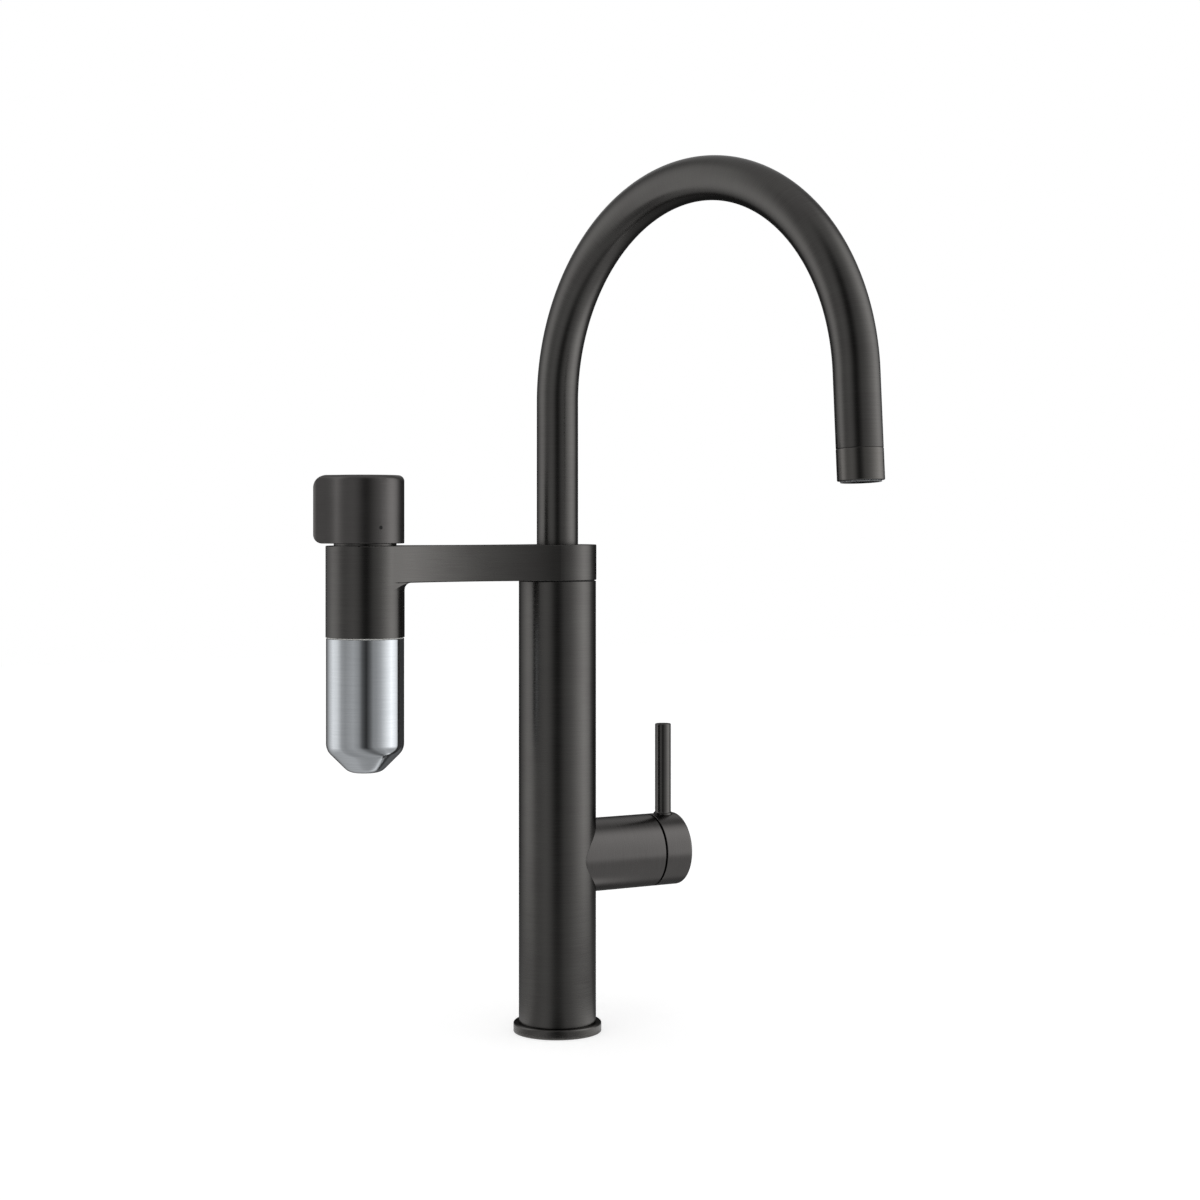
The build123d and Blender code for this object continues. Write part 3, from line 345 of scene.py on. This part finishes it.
# Pipes: drawn copper tube, brown with tarnish and streaked lengthwise by the die. The streaks
# are 60 mm long and drawn 3 mm wide, coarser than the real ones.
COPPER = ("#9A5F42", "#B9785A")
drawn_copper = finish_metal(
    "drawn_copper",
    COPPER,
    roughness=0.34,
    anisotropy=0.2,
    along_mm=3.0,
    across_mm=60.0,
    bump_mm=0.004,
)
dress(drawn_copper, "hot_feed_pipe", "cold_feed_pipe", "mixed_riser", "filter_riser")

# Pins, screw, clip, stem and sieve: plain stainless steel, ground or stamped, which looks grey
# and evenly bright. The grinding lines are drawn 0.3 mm apart, coarser than the real ones.
PLAIN_STEEL = ("#A6A8AA", "#B8BABC")
ground_steel = finish_metal(
    "ground_stainless_steel",
    PLAIN_STEEL,
    roughness=0.28,
    anisotropy=0.2,
    axis="X",
    along_mm=8.0,
    across_mm=0.3,
)
dress(ground_steel, "rotor_pin", "lever_stem", "stop_screw", "spindle_clip", "aerator_screen")

# Column: a 40 mm stainless tube, brushed round and coated, its ends faced and their edges broken.
# It stands on the flange, over the foot insert.
COLUMN_RADIUS = 20.0
COLUMN_BORE = 18.5
COLUMN_TOP = 233.15
column_profile = rounded(
    [
        (COLUMN_BORE, FLANGE_HEIGHT, 0.2),
        (COLUMN_RADIUS, FLANGE_HEIGHT, 0.2),
        (COLUMN_RADIUS, COLUMN_TOP, 0.25),
        (COLUMN_BORE, COLUMN_TOP, 0.2),
    ]
)
column = lathe("column_skin", column_profile)
stand_in(column, gunmetal_upright, "tap_body", "gunmetal", "column_tube")

# Mixer branch: a thick tube, its near end cut as a saddle that is brazed to the column, its far
# end chamfered and bored for the cover ring. It is brushed round its own axis and coated, so its
# lines stand upright in front. Its tone is painted a shade lighter than the column's: painted light
# that stands in for the brighter light on the branch and the lever cap.
BRANCH_HEIGHT = 89.65
BRANCH_RADIUS = 19.0
BRANCH_BORE = 15.55
BRANCH_MIDDLE = 40
BRANCH_END = 54.6
RING_SEAT = 16.55
RING_SEAT_LOW = 36.45
SADDLE = 20.05
SADDLE_HOLD = 0.25  # one more ring of points beside the saddle keeps its edge crisp
# Painted light: the column's coat, lightened to stand in for brighter light on the branch and cap.
LIGHTENED_LEVEL_TONE = ("#5F5D5C", "#666463")
gunmetal_level_lightened = finish_metal(
    "brushed_gunmetal_pvd_level_lightened", LIGHTENED_LEVEL_TONE, COAT_ROUGHNESS, COAT_ANISOTROPY, "X"
)


def on_branch(x, y, z):
    """Turns a piece made along Z so that it lies along the branch: Z becomes X and X goes up."""
    return (z, -y, x + BRANCH_HEIGHT)


def saddle_tube(name, profile, saddle):
    """Tube along the branch, from a profile (r, s). A point with s above 0 stands at s along the
    branch for every angle a. One with s = 0 or less stands -s beyond the saddle, the cylinder
    round the column: at sqrt(saddle^2 - (r sin a)^2) - s."""
    angle = np.linspace(0, 2 * pi, ROUND_STEPS, endpoint=False)
    radius, reach = profile[:, :1], profile[:, 1:2]
    across = radius * np.sin(angle)
    reach = np.where(reach > 0, reach + 0 * angle, np.sqrt(saddle**2 - across**2) - reach)
    return surface(name, np.stack(on_branch(radius * np.cos(angle), across, reach), -1))


branch_far_end = rounded(
    [
        (BRANCH_RADIUS, BRANCH_MIDDLE, 0),
        (BRANCH_RADIUS, BRANCH_END, 0.4),
        (RING_SEAT, BRANCH_END, 0.2),
        (RING_SEAT, RING_SEAT_LOW, 0),
        (BRANCH_BORE, RING_SEAT_LOW, 0),
    ]
)
branch_near_end = [(BRANCH_BORE, 0), (BRANCH_RADIUS, 0), (BRANCH_RADIUS, -SADDLE_HOLD)]
branch_profile = np.concatenate([branch_near_end, branch_far_end, [(BRANCH_BORE, -SADDLE_HOLD)]])
branch = saddle_tube("branch_skin", branch_profile, SADDLE)
stand_in(branch, gunmetal_level_lightened, "tap_body", "gunmetal", "mixer_branch")

# Cover ring and aerator body: black acetal, turned smooth, which looks satin and almost without
# grain. The cover ring's end is part of a ball that the lever's cap swings over, and shows as the
# dark line behind the cap.
ACETAL = ("#0D0D0D", "#161616")
black_acetal = moulded("black_acetal", ACETAL, roughness=0.45, grain_mm=0.6, bump_mm=0.01)
dress(black_acetal, "cover_ring", "aerator_body")

# Cartridge: moulded housing, base, rotor and knob adaptor in grey glass-filled nylon, whose
# fibres leave a fine dull skin, and white alumina discs that are lapped until they mirror.
NYLON = ("#6A6C6E", "#7B7D7F")
grey_nylon = moulded("grey_glass_filled_nylon", NYLON, roughness=0.5, grain_mm=0.5, bump_mm=0.02)
dress(grey_nylon, "cartridge_base", "cartridge_housing", "cartridge_rotor", "knob_adaptor")
ALUMINA = ("#E4E1D8", "#EEEBE3")
alumina = moulded("lapped_alumina", ALUMINA, roughness=0.18, grain_mm=1.5, bump_mm=0.001)
dress(alumina, "fixed_disc", "moving_disc", "valve_fixed_disc", "valve_moving_disc")

# Lever cap: turned from bar, its face edge rounded, its inner side hollowed by a ball-shaped relief
# round the lever's pivot, with a hub bored for the stem. Its heights are measured along the branch
# from the column's axis.
PIVOT = 38.6
CAP_RADIUS = 19.0
CAP_FACE = 70.95
CAP_BACK = 55.6
RELIEF_MOUTH = 18.2
HUB_RADIUS = 5.2
HUB_BACK = 51.6
STEM_BORE = 3.6
STEM_BORE_END = 66.5
cap_front = rounded(
    [
        (0, CAP_FACE, 0),
        (CAP_RADIUS, CAP_FACE, 1.3),
        (CAP_RADIUS, CAP_BACK, 0.2),
        (RELIEF_MOUTH, CAP_BACK, 0),
    ]
)
relief = sqrt((CAP_BACK - PIVOT) ** 2 + RELIEF_MOUTH**2)
bowl_ends = np.arcsin(RELIEF_MOUTH / relief), np.arcsin(HUB_RADIUS / relief)
bowl_angle = np.linspace(*bowl_ends, 24)[:, None]
bowl = np.concatenate([relief * np.sin(bowl_angle), PIVOT + relief * np.cos(bowl_angle)], 1)
hub = [(HUB_RADIUS, HUB_BACK), (STEM_BORE, HUB_BACK)]
hub += [(STEM_BORE, STEM_BORE_END), (0, STEM_BORE_END)]
cap = lathe("lever_cap_skin", np.concatenate([cap_front, bowl[1:], hub]), on_branch)
# The cap takes the branch's lightened tone, which is painted light.
stand_in(cap, gunmetal_level_lightened, "lever", "gunmetal", "lever_cap")

# Lever rod: ground bar with a softly broken top edge and a small concave flare at its foot,
# screwed into the cap. Its heights are measured from the branch's axis.
ROD_X = 63.8
ROD_RADIUS = 4.2
ROD_MIDDLE = 40
ROD_TOP = 66.65
FOOT_RADIUS = 4.95
FOOT_LOW = 17.85
FLARE_TOP = 20.25
FLARE_HEIGHT = 0.95
SHANK_RADIUS = 2.5
SHANK_LOW = 3.05
flare_angle = np.linspace(0, pi / 2, 8)[:, None]
flare = np.hstack(
    [
        FOOT_RADIUS - (FOOT_RADIUS - ROD_RADIUS) * np.sin(flare_angle),
        FLARE_TOP - FLARE_HEIGHT * np.cos(flare_angle),
    ]
)
shank = [(0, SHANK_LOW), (SHANK_RADIUS, SHANK_LOW)]
shank += [(SHANK_RADIUS, FOOT_LOW), (FOOT_RADIUS, FOOT_LOW)]
rod_top = rounded([(ROD_RADIUS, ROD_MIDDLE, 0), (ROD_RADIUS, ROD_TOP, 0.5), (0, ROD_TOP, 0)])


def on_cap(x, y, z):
    """Moves a piece made on the Z axis to the rod's axis, up from the branch's."""
    return (x + ROD_X, y, z + BRANCH_HEIGHT)


lever_rod = lathe("lever_rod_skin", np.concatenate([shank, flare, rod_top]), on_cap)
stand_in(lever_rod, gunmetal_upright, "lever", "gunmetal", "lever_rod")

# Filter arm and knob: the arm is one casting, milled, brushed and coated. The knob is a zinc casting
# with a thumb lug, blasted before it is coated, so its sheen is broader and its lines hardly show.
# The slide ring between knob and arm shows only as a gap of their own tone.
CAST_TONE = ("#615F5E", "#676564")
gunmetal_cast = finish_metal("blasted_gunmetal_pvd", CAST_TONE, roughness=0.36, anisotropy=0.2)
dress(gunmetal_upright, "filter_arm", "knob_ring")
dress(gunmetal_cast, "filter_knob")

# Arm washer: a thin black acetal ring pressed between the column's end and the arm, which shows
# as a dark line.
WASHER_BORE = 18.55
WASHER_RADIUS = 19.3
WASHER_TOP = 233.65
washer_profile = rounded(
    [
        (WASHER_BORE, COLUMN_TOP, 0),
        (WASHER_RADIUS, COLUMN_TOP, 0.1),
        (WASHER_RADIUS, WASHER_TOP, 0.1),
        (WASHER_BORE, WASHER_TOP, 0),
    ]
)
washer = lathe("arm_washer", washer_profile)
stand_in(washer, black_acetal, "tap_body", "black_plastic")

# Position dot: a small plug moulded in black ABS and pressed into the knob's front. It is the
# blackest spot on the tap, smooth and satin.
ABS = ("#030303", "#060606")
black_abs = moulded("moulded_black_abs", ABS, roughness=0.5, grain_mm=0.5, bump_mm=0.001)
dress(black_abs, "position_dot")

# Filter cup: spun stainless steel with a coned bottom, brushed round and left bare and bright. Its
# slimmer neck has a rolled thread that screws it into the housing, and a groove for the seal above
# that. The brush lines are drawn 0.4 mm apart, coarser than the real ones, so that they show.
FILTER_X = -108.0
CUP_RADIUS = 19.25
CUP_BORE = 18.05
CUP_LOW = 139.8
CUP_BOTTOM_RADIUS = 7.95
CONE_TOP = 151.1
CUP_FLOOR = 141.0
CUP_FLOOR_RADIUS = 7.45
CONE_TOP_INSIDE = 151.6
BORE_TOP = 205.0
CUP_SHOULDER = 206.2
CUP_TOP = 220.4
NECK_RADIUS = 16.9
NECK_BORE = 15.4
NECK_LOW = 207.0
NECK_PLAIN_TOP = 216.0
CUP_GROOVE = 16.1
CUP_GROOVE_LOW = 216.3
CUP_GROOVE_TOP = 218.5
THREAD_PITCH = 2.0
THREAD_DEPTH = 0.5
THREAD_STEEPNESS = 1.6
THREAD_LAND = 0.3
THREAD_LOW = 207.4
THREAD_TOP = 215.4
THREAD_RUN_OUT = 0.8
STEEL = ("#C5C9CD", "#CFD3D7")
brushed_steel = finish_metal("brushed_stainless_steel", STEEL, roughness=0.11, anisotropy=0.6)


def at_filter(x, y, z):
    """Moves a piece made on the Z axis to the filter's axis."""
    return (x + FILTER_X, y, z)


cup_outside = rounded(
    [
        (0, CUP_LOW, 0),
        (CUP_BOTTOM_RADIUS, CUP_LOW, 7.0),
        (CUP_RADIUS, CONE_TOP, 7.5),
        (CUP_RADIUS, CUP_SHOULDER, 0.3),
        (NECK_RADIUS, CUP_SHOULDER, 0.1),
    ]
)
neck_wall = np.linspace(NECK_LOW, NECK_PLAIN_TOP, 60)[:, None]
neck_wall = np.hstack([0 * neck_wall + NECK_RADIUS, neck_wall])
neck_groove = rounded(
    [
        (NECK_RADIUS, NECK_LOW, 0),
        (NECK_RADIUS, CUP_GROOVE_LOW, 0.1),
        (CUP_GROOVE, CUP_GROOVE_LOW, 0),
        (CUP_GROOVE, CUP_GROOVE_TOP, 0),
        (NECK_RADIUS, CUP_GROOVE_TOP, 0.1),
    ]
)
rim = rounded(
    [
        (NECK_RADIUS, CUP_GROOVE_TOP, 0),
        (NECK_RADIUS, CUP_TOP, 0.3),
        (NECK_BORE, CUP_TOP, 0.3),
        (NECK_BORE, BORE_TOP, 0),
    ]
)
cup_inside = rounded(
    [
        (NECK_BORE, THREAD_LOW, 0),
        (NECK_BORE, BORE_TOP, 0.4),
        (CUP_BORE, BORE_TOP, 0.8),
        (CUP_BORE, CONE_TOP_INSIDE, 6.3),
        (CUP_FLOOR_RADIUS, CUP_FLOOR, 5.8),
        (0, CUP_FLOOR, 0),
    ]
)
cup_profile = np.concatenate(
    [cup_outside[:-1], neck_wall, neck_groove[1:], rim[1:-1], cup_inside]
)
turn = np.linspace(0, 2 * pi, ROUND_STEPS, endpoint=False)
radius, height = cup_profile[:, :1] + 0 * turn, cup_profile[:, 1:] + 0 * turn
# The thread is a rounded groove that climbs one pitch a turn. On the neck's wall the radius falls
# by depth times (steepness sin(2 pi z / pitch - a) - land), kept from 0 to 1, and the groove
# fades at both ends.
climb = np.sin(2 * pi * height / THREAD_PITCH - turn)
groove = np.clip(THREAD_STEEPNESS * climb - THREAD_LAND, 0, 1)
fade_low = np.clip((height - THREAD_LOW) / THREAD_RUN_OUT, 0, 1)
fade_top = np.clip((THREAD_TOP - height) / THREAD_RUN_OUT, 0, 1)
on_neck = np.abs(radius - NECK_RADIUS) < 0.01
radius = radius - np.where(on_neck, THREAD_DEPTH * groove * fade_low * fade_top, 0)
cup_grid = np.stack(at_filter(radius * np.cos(turn), radius * np.sin(turn), height), -1)
cup = surface("filter_cup_skin", cup_grid, False)
stand_in(cup, brushed_steel, "cup", "steel", "filter_cup")

# Filter cartridge: cage, base and cap moulded in white polypropylene, milky with a soft gloss,
# around a core of polypropylene cord, matt and fibrous. The cord is wound in crossing turns,
# which gives the core its fine diamond relief.
CORE_RADIUS = 12.9
CORE_BORE = 1.5
CORE_ROWS = 160
CORD_RELIEF = 0.3
CORD_SPACING = 3.0
CORD_STARTS = 6
POLYPROPYLENE = ("#D9D9D5", "#E6E6E2")
FIBRE = ("#C9C7BC", "#DDDBD2")
white_pp = moulded(
    "white_polypropylene", POLYPROPYLENE, roughness=0.4, grain_mm=1.0, bump_mm=0.01
)
dress(white_pp, "filter_socket", "filter_cage", "filter_cap", "filter_base")
dress(white_pp, "slide_rings", "slip_washer", "drinking_tube")
wound_fibre = moulded(
    "wound_polypropylene_fibre", FIBRE, roughness=0.85, grain_mm=0.3, bump_mm=0.08
)
core_low, core_top = (corner[2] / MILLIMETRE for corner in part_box("filter_core"))
core_rows = np.linspace(core_low, core_top, CORE_ROWS)[:, None]
# With n starts and w = 2 pi z / spacing, the radius gains relief times sin(w + n a) sin(w - n a).
wind = 2 * pi * core_rows / CORD_SPACING
cross = np.sin(wind + CORD_STARTS * turn) * np.sin(wind - CORD_STARTS * turn)
core_bore = np.full((2, ROUND_STEPS), CORE_BORE)
core_radius = np.concatenate([CORE_RADIUS + CORD_RELIEF * cross, core_bore])
core_height = np.concatenate([core_rows, [[core_top], [core_low]]]) + 0 * turn
core_grid = at_filter(core_radius * np.cos(turn), core_radius * np.sin(turn), core_height)
core = surface("filter_core_wound", np.stack(core_grid, -1))
stand_in(core, wound_fibre, "filter_load", "filter_fibre", "filter_core")

# Spout: 21.5 mm stainless tube bent in one plane, brushed round after bending, then coated, so its
# brush lines follow the bend. The tube and the water tube inside it follow one line: up, over the
# arch, down the tail.
ARCH_RADIUS = 103.8
ARCH_HEIGHT = 325.8
ARCH_SWEEP = radians(176.85)
SPOUT_AZIMUTH = radians(-77.92)
SPOUT_LOW = 249.05
TAIL = 34.8
TUBE_RADIUS = 10.72
TUBE_BORE = 9.45
TUBE_STEPS = 96  # points round the tube
rise = ARCH_HEIGHT - SPOUT_LOW
arch_length = ARCH_RADIUS * ARCH_SWEEP
arch_end = rise + arch_length
tube_end = arch_end + TAIL
gunmetal_swept = finish_metal(
    "brushed_gunmetal_pvd_swept", GUNMETAL, COAT_ROUGHNESS, COAT_ANISOTROPY, "brush", edge=0.75
)


def spout_line(length):
    """Point and direction at a length along the spout's line, in its own plane: straight up, then
    round the arch's circle, then straight on; returns reach, height and the direction's parts."""
    sweep_angle = np.clip((length - rise) / ARCH_RADIUS, 0, ARCH_SWEEP)
    before, after = np.minimum(length, rise), np.maximum(length - rise - arch_length, 0)
    along, up = np.sin(sweep_angle), np.cos(sweep_angle)
    reach = ARCH_RADIUS * (1 - up) + after * along
    level = SPOUT_LOW + before + ARCH_RADIUS * along + after * up
    return reach, level, along, up


def swung(reach, side, level):
    """Turns a point of the spout's plane, side being square to it, by the spout's azimuth."""
    x = reach * cos(SPOUT_AZIMUTH) - side * sin(SPOUT_AZIMUTH)
    y = reach * sin(SPOUT_AZIMUTH) + side * cos(SPOUT_AZIMUTH)
    return x, y, level


def carried(name, stations, radii):
    """Tube carried along the spout's line: at each station a circle of the given radius stands
    square to the line. Its lay is (length, r cos a, r sin a), so the brush lines follow the tube
    round."""
    angle = np.linspace(0, 2 * pi, TUBE_STEPS, endpoint=False)
    length, radius = stations[:, None], radii[:, None]
    reach, level, along, up = spout_line(length)
    outward, side = radius * np.cos(angle), radius * np.sin(angle)
    grid = np.stack(swung(reach + outward * up, side, level - outward * along), -1)
    lay = np.stack([length + 0 * angle, outward, side], -1)
    return surface(name, grid, True, lay)


lengths = np.concatenate(
    [
        np.linspace(0.4, rise, 12),
        np.linspace(rise, arch_end, 140)[1:],
        np.linspace(arch_end, tube_end - 0.4, 8)[1:],
    ]
)
# Rows of (length, radius): the broken edges, the outside between them, and the bore back down.
low_edge = [(0.05, 10.6), (0.2, 10.7)]
tail_edge = [(tube_end - 0.2, 10.67), (tube_end - 0.02, 10.5)]
outside = np.stack([lengths, 0 * lengths + TUBE_RADIUS], -1)
inside_lengths = np.concatenate([[tube_end - 0.02], lengths[::-1], [0.05]])
inside = np.stack([inside_lengths, 0 * inside_lengths + TUBE_BORE], -1)
tube_profile = np.concatenate([low_edge, outside, tail_edge, inside])
spout = carried("spout_skin", tube_profile[:, 0], tube_profile[:, 1])
stand_in(spout, gunmetal_swept, "spout", "gunmetal", "spout_tube")

# Nozzle: turned steel ring pushed into the tube's end, with a fine seam where they meet, brushed
# and coated. Its tone is painted a shade lighter than the tube's: painted light that stands in for
# the brighter light on the tail. The grey nylon lip of the aerator stands just out of it.
NOZZLE_RADIUS = 10.75
NOZZLE_LENGTH = 14.4
NOZZLE_BORE = 7.45
NOZZLE_MOUTH = 8.95
SPIGOT_RADIUS = 9.4
SPIGOT_START = -8
SEAM = 0.02
AERATOR_SEAT = 4
LIP_BORE = 8.3
LIP_RADIUS = 9.4
LIP_LOW = 14.42
LIP_END = 15.25
# Painted light: the tube's coat, lightened to stand in for brighter light on the tail.
NOZZLE_LIGHTENED_TONE = ("#64625F", "#6C6A68")
gunmetal_turned_lightened = finish_metal(
    "turned_gunmetal_pvd_lightened", NOZZLE_LIGHTENED_TONE, COAT_ROUGHNESS, COAT_ANISOTROPY
)
end_reach, end_level, end_along, end_up = (float(part) for part in spout_line(np.array(tube_end)))


def at_outlet(x, y, z):
    """Turns a piece made along Z to stand at the tube's end, Z running down the flow."""
    reach, level = end_reach + x * end_up + z * end_along, end_level - x * end_along + z * end_up
    return swung(reach, y, level)


nozzle_profile = rounded(
    [
        (NOZZLE_BORE, SPIGOT_START, 0.2),
        (SPIGOT_RADIUS, SPIGOT_START, 0.2),
        (SPIGOT_RADIUS, SEAM, 0),
        (NOZZLE_RADIUS, SEAM, 0.28),
        (NOZZLE_RADIUS, NOZZLE_LENGTH, 0.4),
        (NOZZLE_MOUTH, NOZZLE_LENGTH, 0.2),
        (NOZZLE_MOUTH, AERATOR_SEAT, 0),
        (NOZZLE_BORE, AERATOR_SEAT, 0),
    ]
)
nozzle = lathe("nozzle_skin", nozzle_profile, at_outlet)
stand_in(nozzle, gunmetal_turned_lightened, "spout", "gunmetal", "spout_nozzle")
lip_profile = rounded(
    [
        (LIP_BORE, LIP_LOW, 0),
        (LIP_RADIUS, LIP_LOW, 0.1),
        (LIP_RADIUS, LIP_END, 0.4),
        (LIP_BORE, LIP_END, 0.15),
    ]
)
lip = lathe("aerator_lip", lip_profile, at_outlet)
stand_in(lip, grey_nylon, "spout", "grey_plastic")

# Floor: plain, pale and matt. Its glow makes it white for the camera and in reflections, and the
# rest of its tone is real light, so that the soft shadow stays.
FLOOR_HALF = 3.0
FLOOR_LEVEL = -0.0002
FLOOR_GLOW = 0.62
FLOOR_TONE = "#B0B0B0"
sides = [(-1, -1), (1, -1), (1, 1), (-1, 1)]
floor_mesh = bpy.data.meshes.new("floor")
floor_points = [(x * FLOOR_HALF, y * FLOOR_HALF, FLOOR_LEVEL) for x, y in sides]
floor_mesh.from_pydata(floor_points, [], [(0, 1, 2, 3)])
put("floor", floor_mesh)


def white_for_views(tree, level):
    """Strength that is the level for camera, glossy and transmission rays, and 0 for the rest."""
    ray = add(tree, "ShaderNodeLightPath").outputs
    camera_or_gloss = add(
        tree, "ShaderNodeMath", {0: ray["Is Camera Ray"], 1: ray["Is Glossy Ray"]}
    )
    every = add(
        tree,
        "ShaderNodeMath",
        {0: camera_or_gloss.outputs[0], 1: ray["Is Transmission Ray"]},
        use_clamp=True,
    )
    scaled = add(tree, "ShaderNodeMath", {0: every.outputs[0]}, operation="MULTIPLY")
    scaled.inputs[1].default_value = level
    return scaled.outputs[0]


pale, floor_tree = blank_material("pale_matt_floor")
lit = add(floor_tree, "ShaderNodeBsdfDiffuse", Color=linear(FLOOR_TONE))
floor_strength = white_for_views(floor_tree, FLOOR_GLOW)
floor_glow = add(
    floor_tree, "ShaderNodeEmission", {"Strength": floor_strength}, Color=(1, 1, 1, 1)
)
both = add(floor_tree, "ShaderNodeAddShader", {0: lit.outputs[0], 1: floor_glow.outputs[0]})
add(floor_tree, "ShaderNodeOutputMaterial", {"Surface": both.outputs[0]})
floor_mesh.materials.append(pale)

# Room: white to the camera, in reflections and through clear pieces, and a plain level of light
# for all matt surfaces.
ROOM_LIGHT = 0.9
world = bpy.data.worlds.new("studio")
bpy.context.scene.world = world
world.use_nodes = True
world_tree = world.node_tree
world_tree.nodes.clear()
seen_level = white_for_views(world_tree, 1 - ROOM_LIGHT)
room_strength = add(world_tree, "ShaderNodeMath", {0: seen_level})
room_strength.inputs[1].default_value = ROOM_LIGHT
room = add(
    world_tree, "ShaderNodeBackground", {"Strength": room_strength.outputs[0]}, Color=(1, 1, 1, 1)
)
add(world_tree, "ShaderNodeOutputWorld", {"Surface": room.outputs[0]})

# Studio cards: one graded card that lies on the floor round the tap, stands up as a wall 0.8 m
# from the column and closes as a ceiling. Only reflections see it. Its list gives the wall's
# brightness at each bearing, in degrees to the right of the camera's.
CAMERA_BEARING = -119.33
CARDS = [
    (-180, 0.03), (-148, 0.04), (-132, 0.36), (-117, 0.68), (-97, 1.12), (-81, 0.97),
    (-66, 0.46), (-55, 0.38), (-33, 0.5), (-19, 0.37), (-9, 0.12), (2, 0.035), (12, 0.14),
    (22, 0.34), (31, 0.39), (44, 0.56), (56, 0.84), (70, 1.22), (85, 1.65), (100, 1.38),
    (110, 1.08), (116, 0.65), (122, 0.28), (140, 0.08), (180, 0.03),
]
CARD_STEPS = 144
FLOOR_RINGS = (0.026, 0.05, 0.08, 0.11, 0.15, 0.2, 0.3, 0.45, 0.6)  # metres from the axis
WALL_DISTANCE = 0.8
WALL_HEIGHTS = (0, 0.3, 0.5, 0.7, 0.95, 1.25)
CEILING_LINE = [(0.75, 1.5), (0.55, 1.75), (0.3, 1.87), (0, 1.9)]  # (distance, height)
FLOOR_CARD_MOST = 0.54
FLOOR_CARD_LEAST = 0.14
FLOOR_CARD_SHARE = 0.6  # of the wall's brightness at the same bearing
FLOOR_CARD_FADE = ((0.05, 0.08, 0.3, 0.6), (0.2, 1, 1, 0))  # distances, shares
BACK = 0.7
BACK_LOW, BACK_RISE = 0.38, 0.29
BACK_BEARING, BACK_BLEND = 130, 30
WALL_FADE = ((0.6, 0.9, 1.4), (1, 0.9, 0.82))  # heights, shares
CEILING = 0.52
CEILING_LOW, CEILING_RISE = 1.15, 0.55


def towards(level, goal, share):
    """Brightness blended from a level to a goal: level + share (goal - level)."""
    return level + share * (goal - level)


floor_line = [(distance, 0) for distance in FLOOR_RINGS]
wall_line = [(WALL_DISTANCE, height) for height in WALL_HEIGHTS]
card_line = np.array(floor_line + wall_line + CEILING_LINE)
distance, card_height = card_line[:, :1], card_line[:, 1:]
bearing = np.linspace(-180, 180, CARD_STEPS, endpoint=False)
azimuth = np.radians(bearing + CAMERA_BEARING)
cards_grid = np.stack(
    [distance * np.cos(azimuth), distance * np.sin(azimuth), card_height + 0 * azimuth], -1
)
brightness = np.interp(bearing, *zip(*CARDS)) + 0 * distance
on_floor = np.interp(distance, *FLOOR_CARD_FADE) * (card_height < 0.1)
floor_brightness = np.minimum(FLOOR_CARD_MOST, FLOOR_CARD_LEAST + FLOOR_CARD_SHARE * brightness)
brightness = towards(brightness, floor_brightness, on_floor)
in_back = np.clip((np.abs(bearing) - BACK_BEARING) / BACK_BLEND, 0, 1)
brightness = towards(
    brightness, BACK, np.clip((card_height - BACK_LOW) / BACK_RISE, 0, 1) * in_back
)
brightness = brightness * np.interp(card_height, *WALL_FADE)
overhead = np.clip((card_height - CEILING_LOW) / CEILING_RISE, 0, 1)
brightness = towards(brightness, CEILING, overhead)

index = np.arange(brightness.size).reshape(brightness.shape)
next_to = np.roll(index, -1, 1)
quads = np.stack([index[:-1], next_to[:-1], next_to[1:], index[1:]], -1).reshape(-1, 4)
cards_mesh = bpy.data.meshes.new("studio_cards")
cards_mesh.from_pydata(cards_grid.reshape(-1, 3).tolist(), [], quads.tolist())
card_level = cards_mesh.attributes.new("card_level", "FLOAT", "POINT")
card_level.data.foreach_set("value", brightness.astype(np.float32).ravel())
put("studio_cards", cards_mesh)

card, card_tree = blank_material("graded_card")
stored = add(card_tree, "ShaderNodeAttribute", attribute_name="card_level").outputs["Fac"]
card_glow = add(card_tree, "ShaderNodeEmission", {"Strength": stored}, Color=(1, 1, 1, 1))
clear = add(card_tree, "ShaderNodeBsdfTransparent")
gloss = add(card_tree, "ShaderNodeLightPath").outputs["Is Glossy Ray"]
seen = add(
    card_tree,
    "ShaderNodeMixShader",
    {"Fac": gloss, 1: clear.outputs[0], 2: card_glow.outputs[0]},
)
add(card_tree, "ShaderNodeOutputMaterial", {"Surface": seen.outputs[0]})
cards_mesh.materials.append(card)

# Lamp: one wide soft box overhead, a little in front, gives the floor its shadow. Metal doesn't
# mirror it.
lamp_data = bpy.data.lights.new("overhead_soft_box", "AREA")
lamp_data.shape = "SQUARE"
lamp_data.size = 1.2
lamp_data.energy = 6
lamp = put("overhead_soft_box", lamp_data)
lamp.location = (-0.3, -0.5, 1.9)
lamp.rotation_euler = (radians(14), radians(-9), 0)
lamp.visible_glossy = False

# Camera: level, 265 mm above the worktop and 1.15 m away, fitted to the photo's outlines.
camera_data = bpy.data.cameras.new("camera")
camera_data.lens = 66.66
camera_data.sensor_width = 36
camera_data.shift_y = -0.06715
camera = put("camera", camera_data)
camera.location = (-0.5454, -1.0158, 0.26497)
camera.rotation_euler = (radians(90), 0, radians(CAMERA_BEARING + 90))
bpy.context.scene.camera = camera
bpy.context.scene.view_settings.view_transform = "Standard"
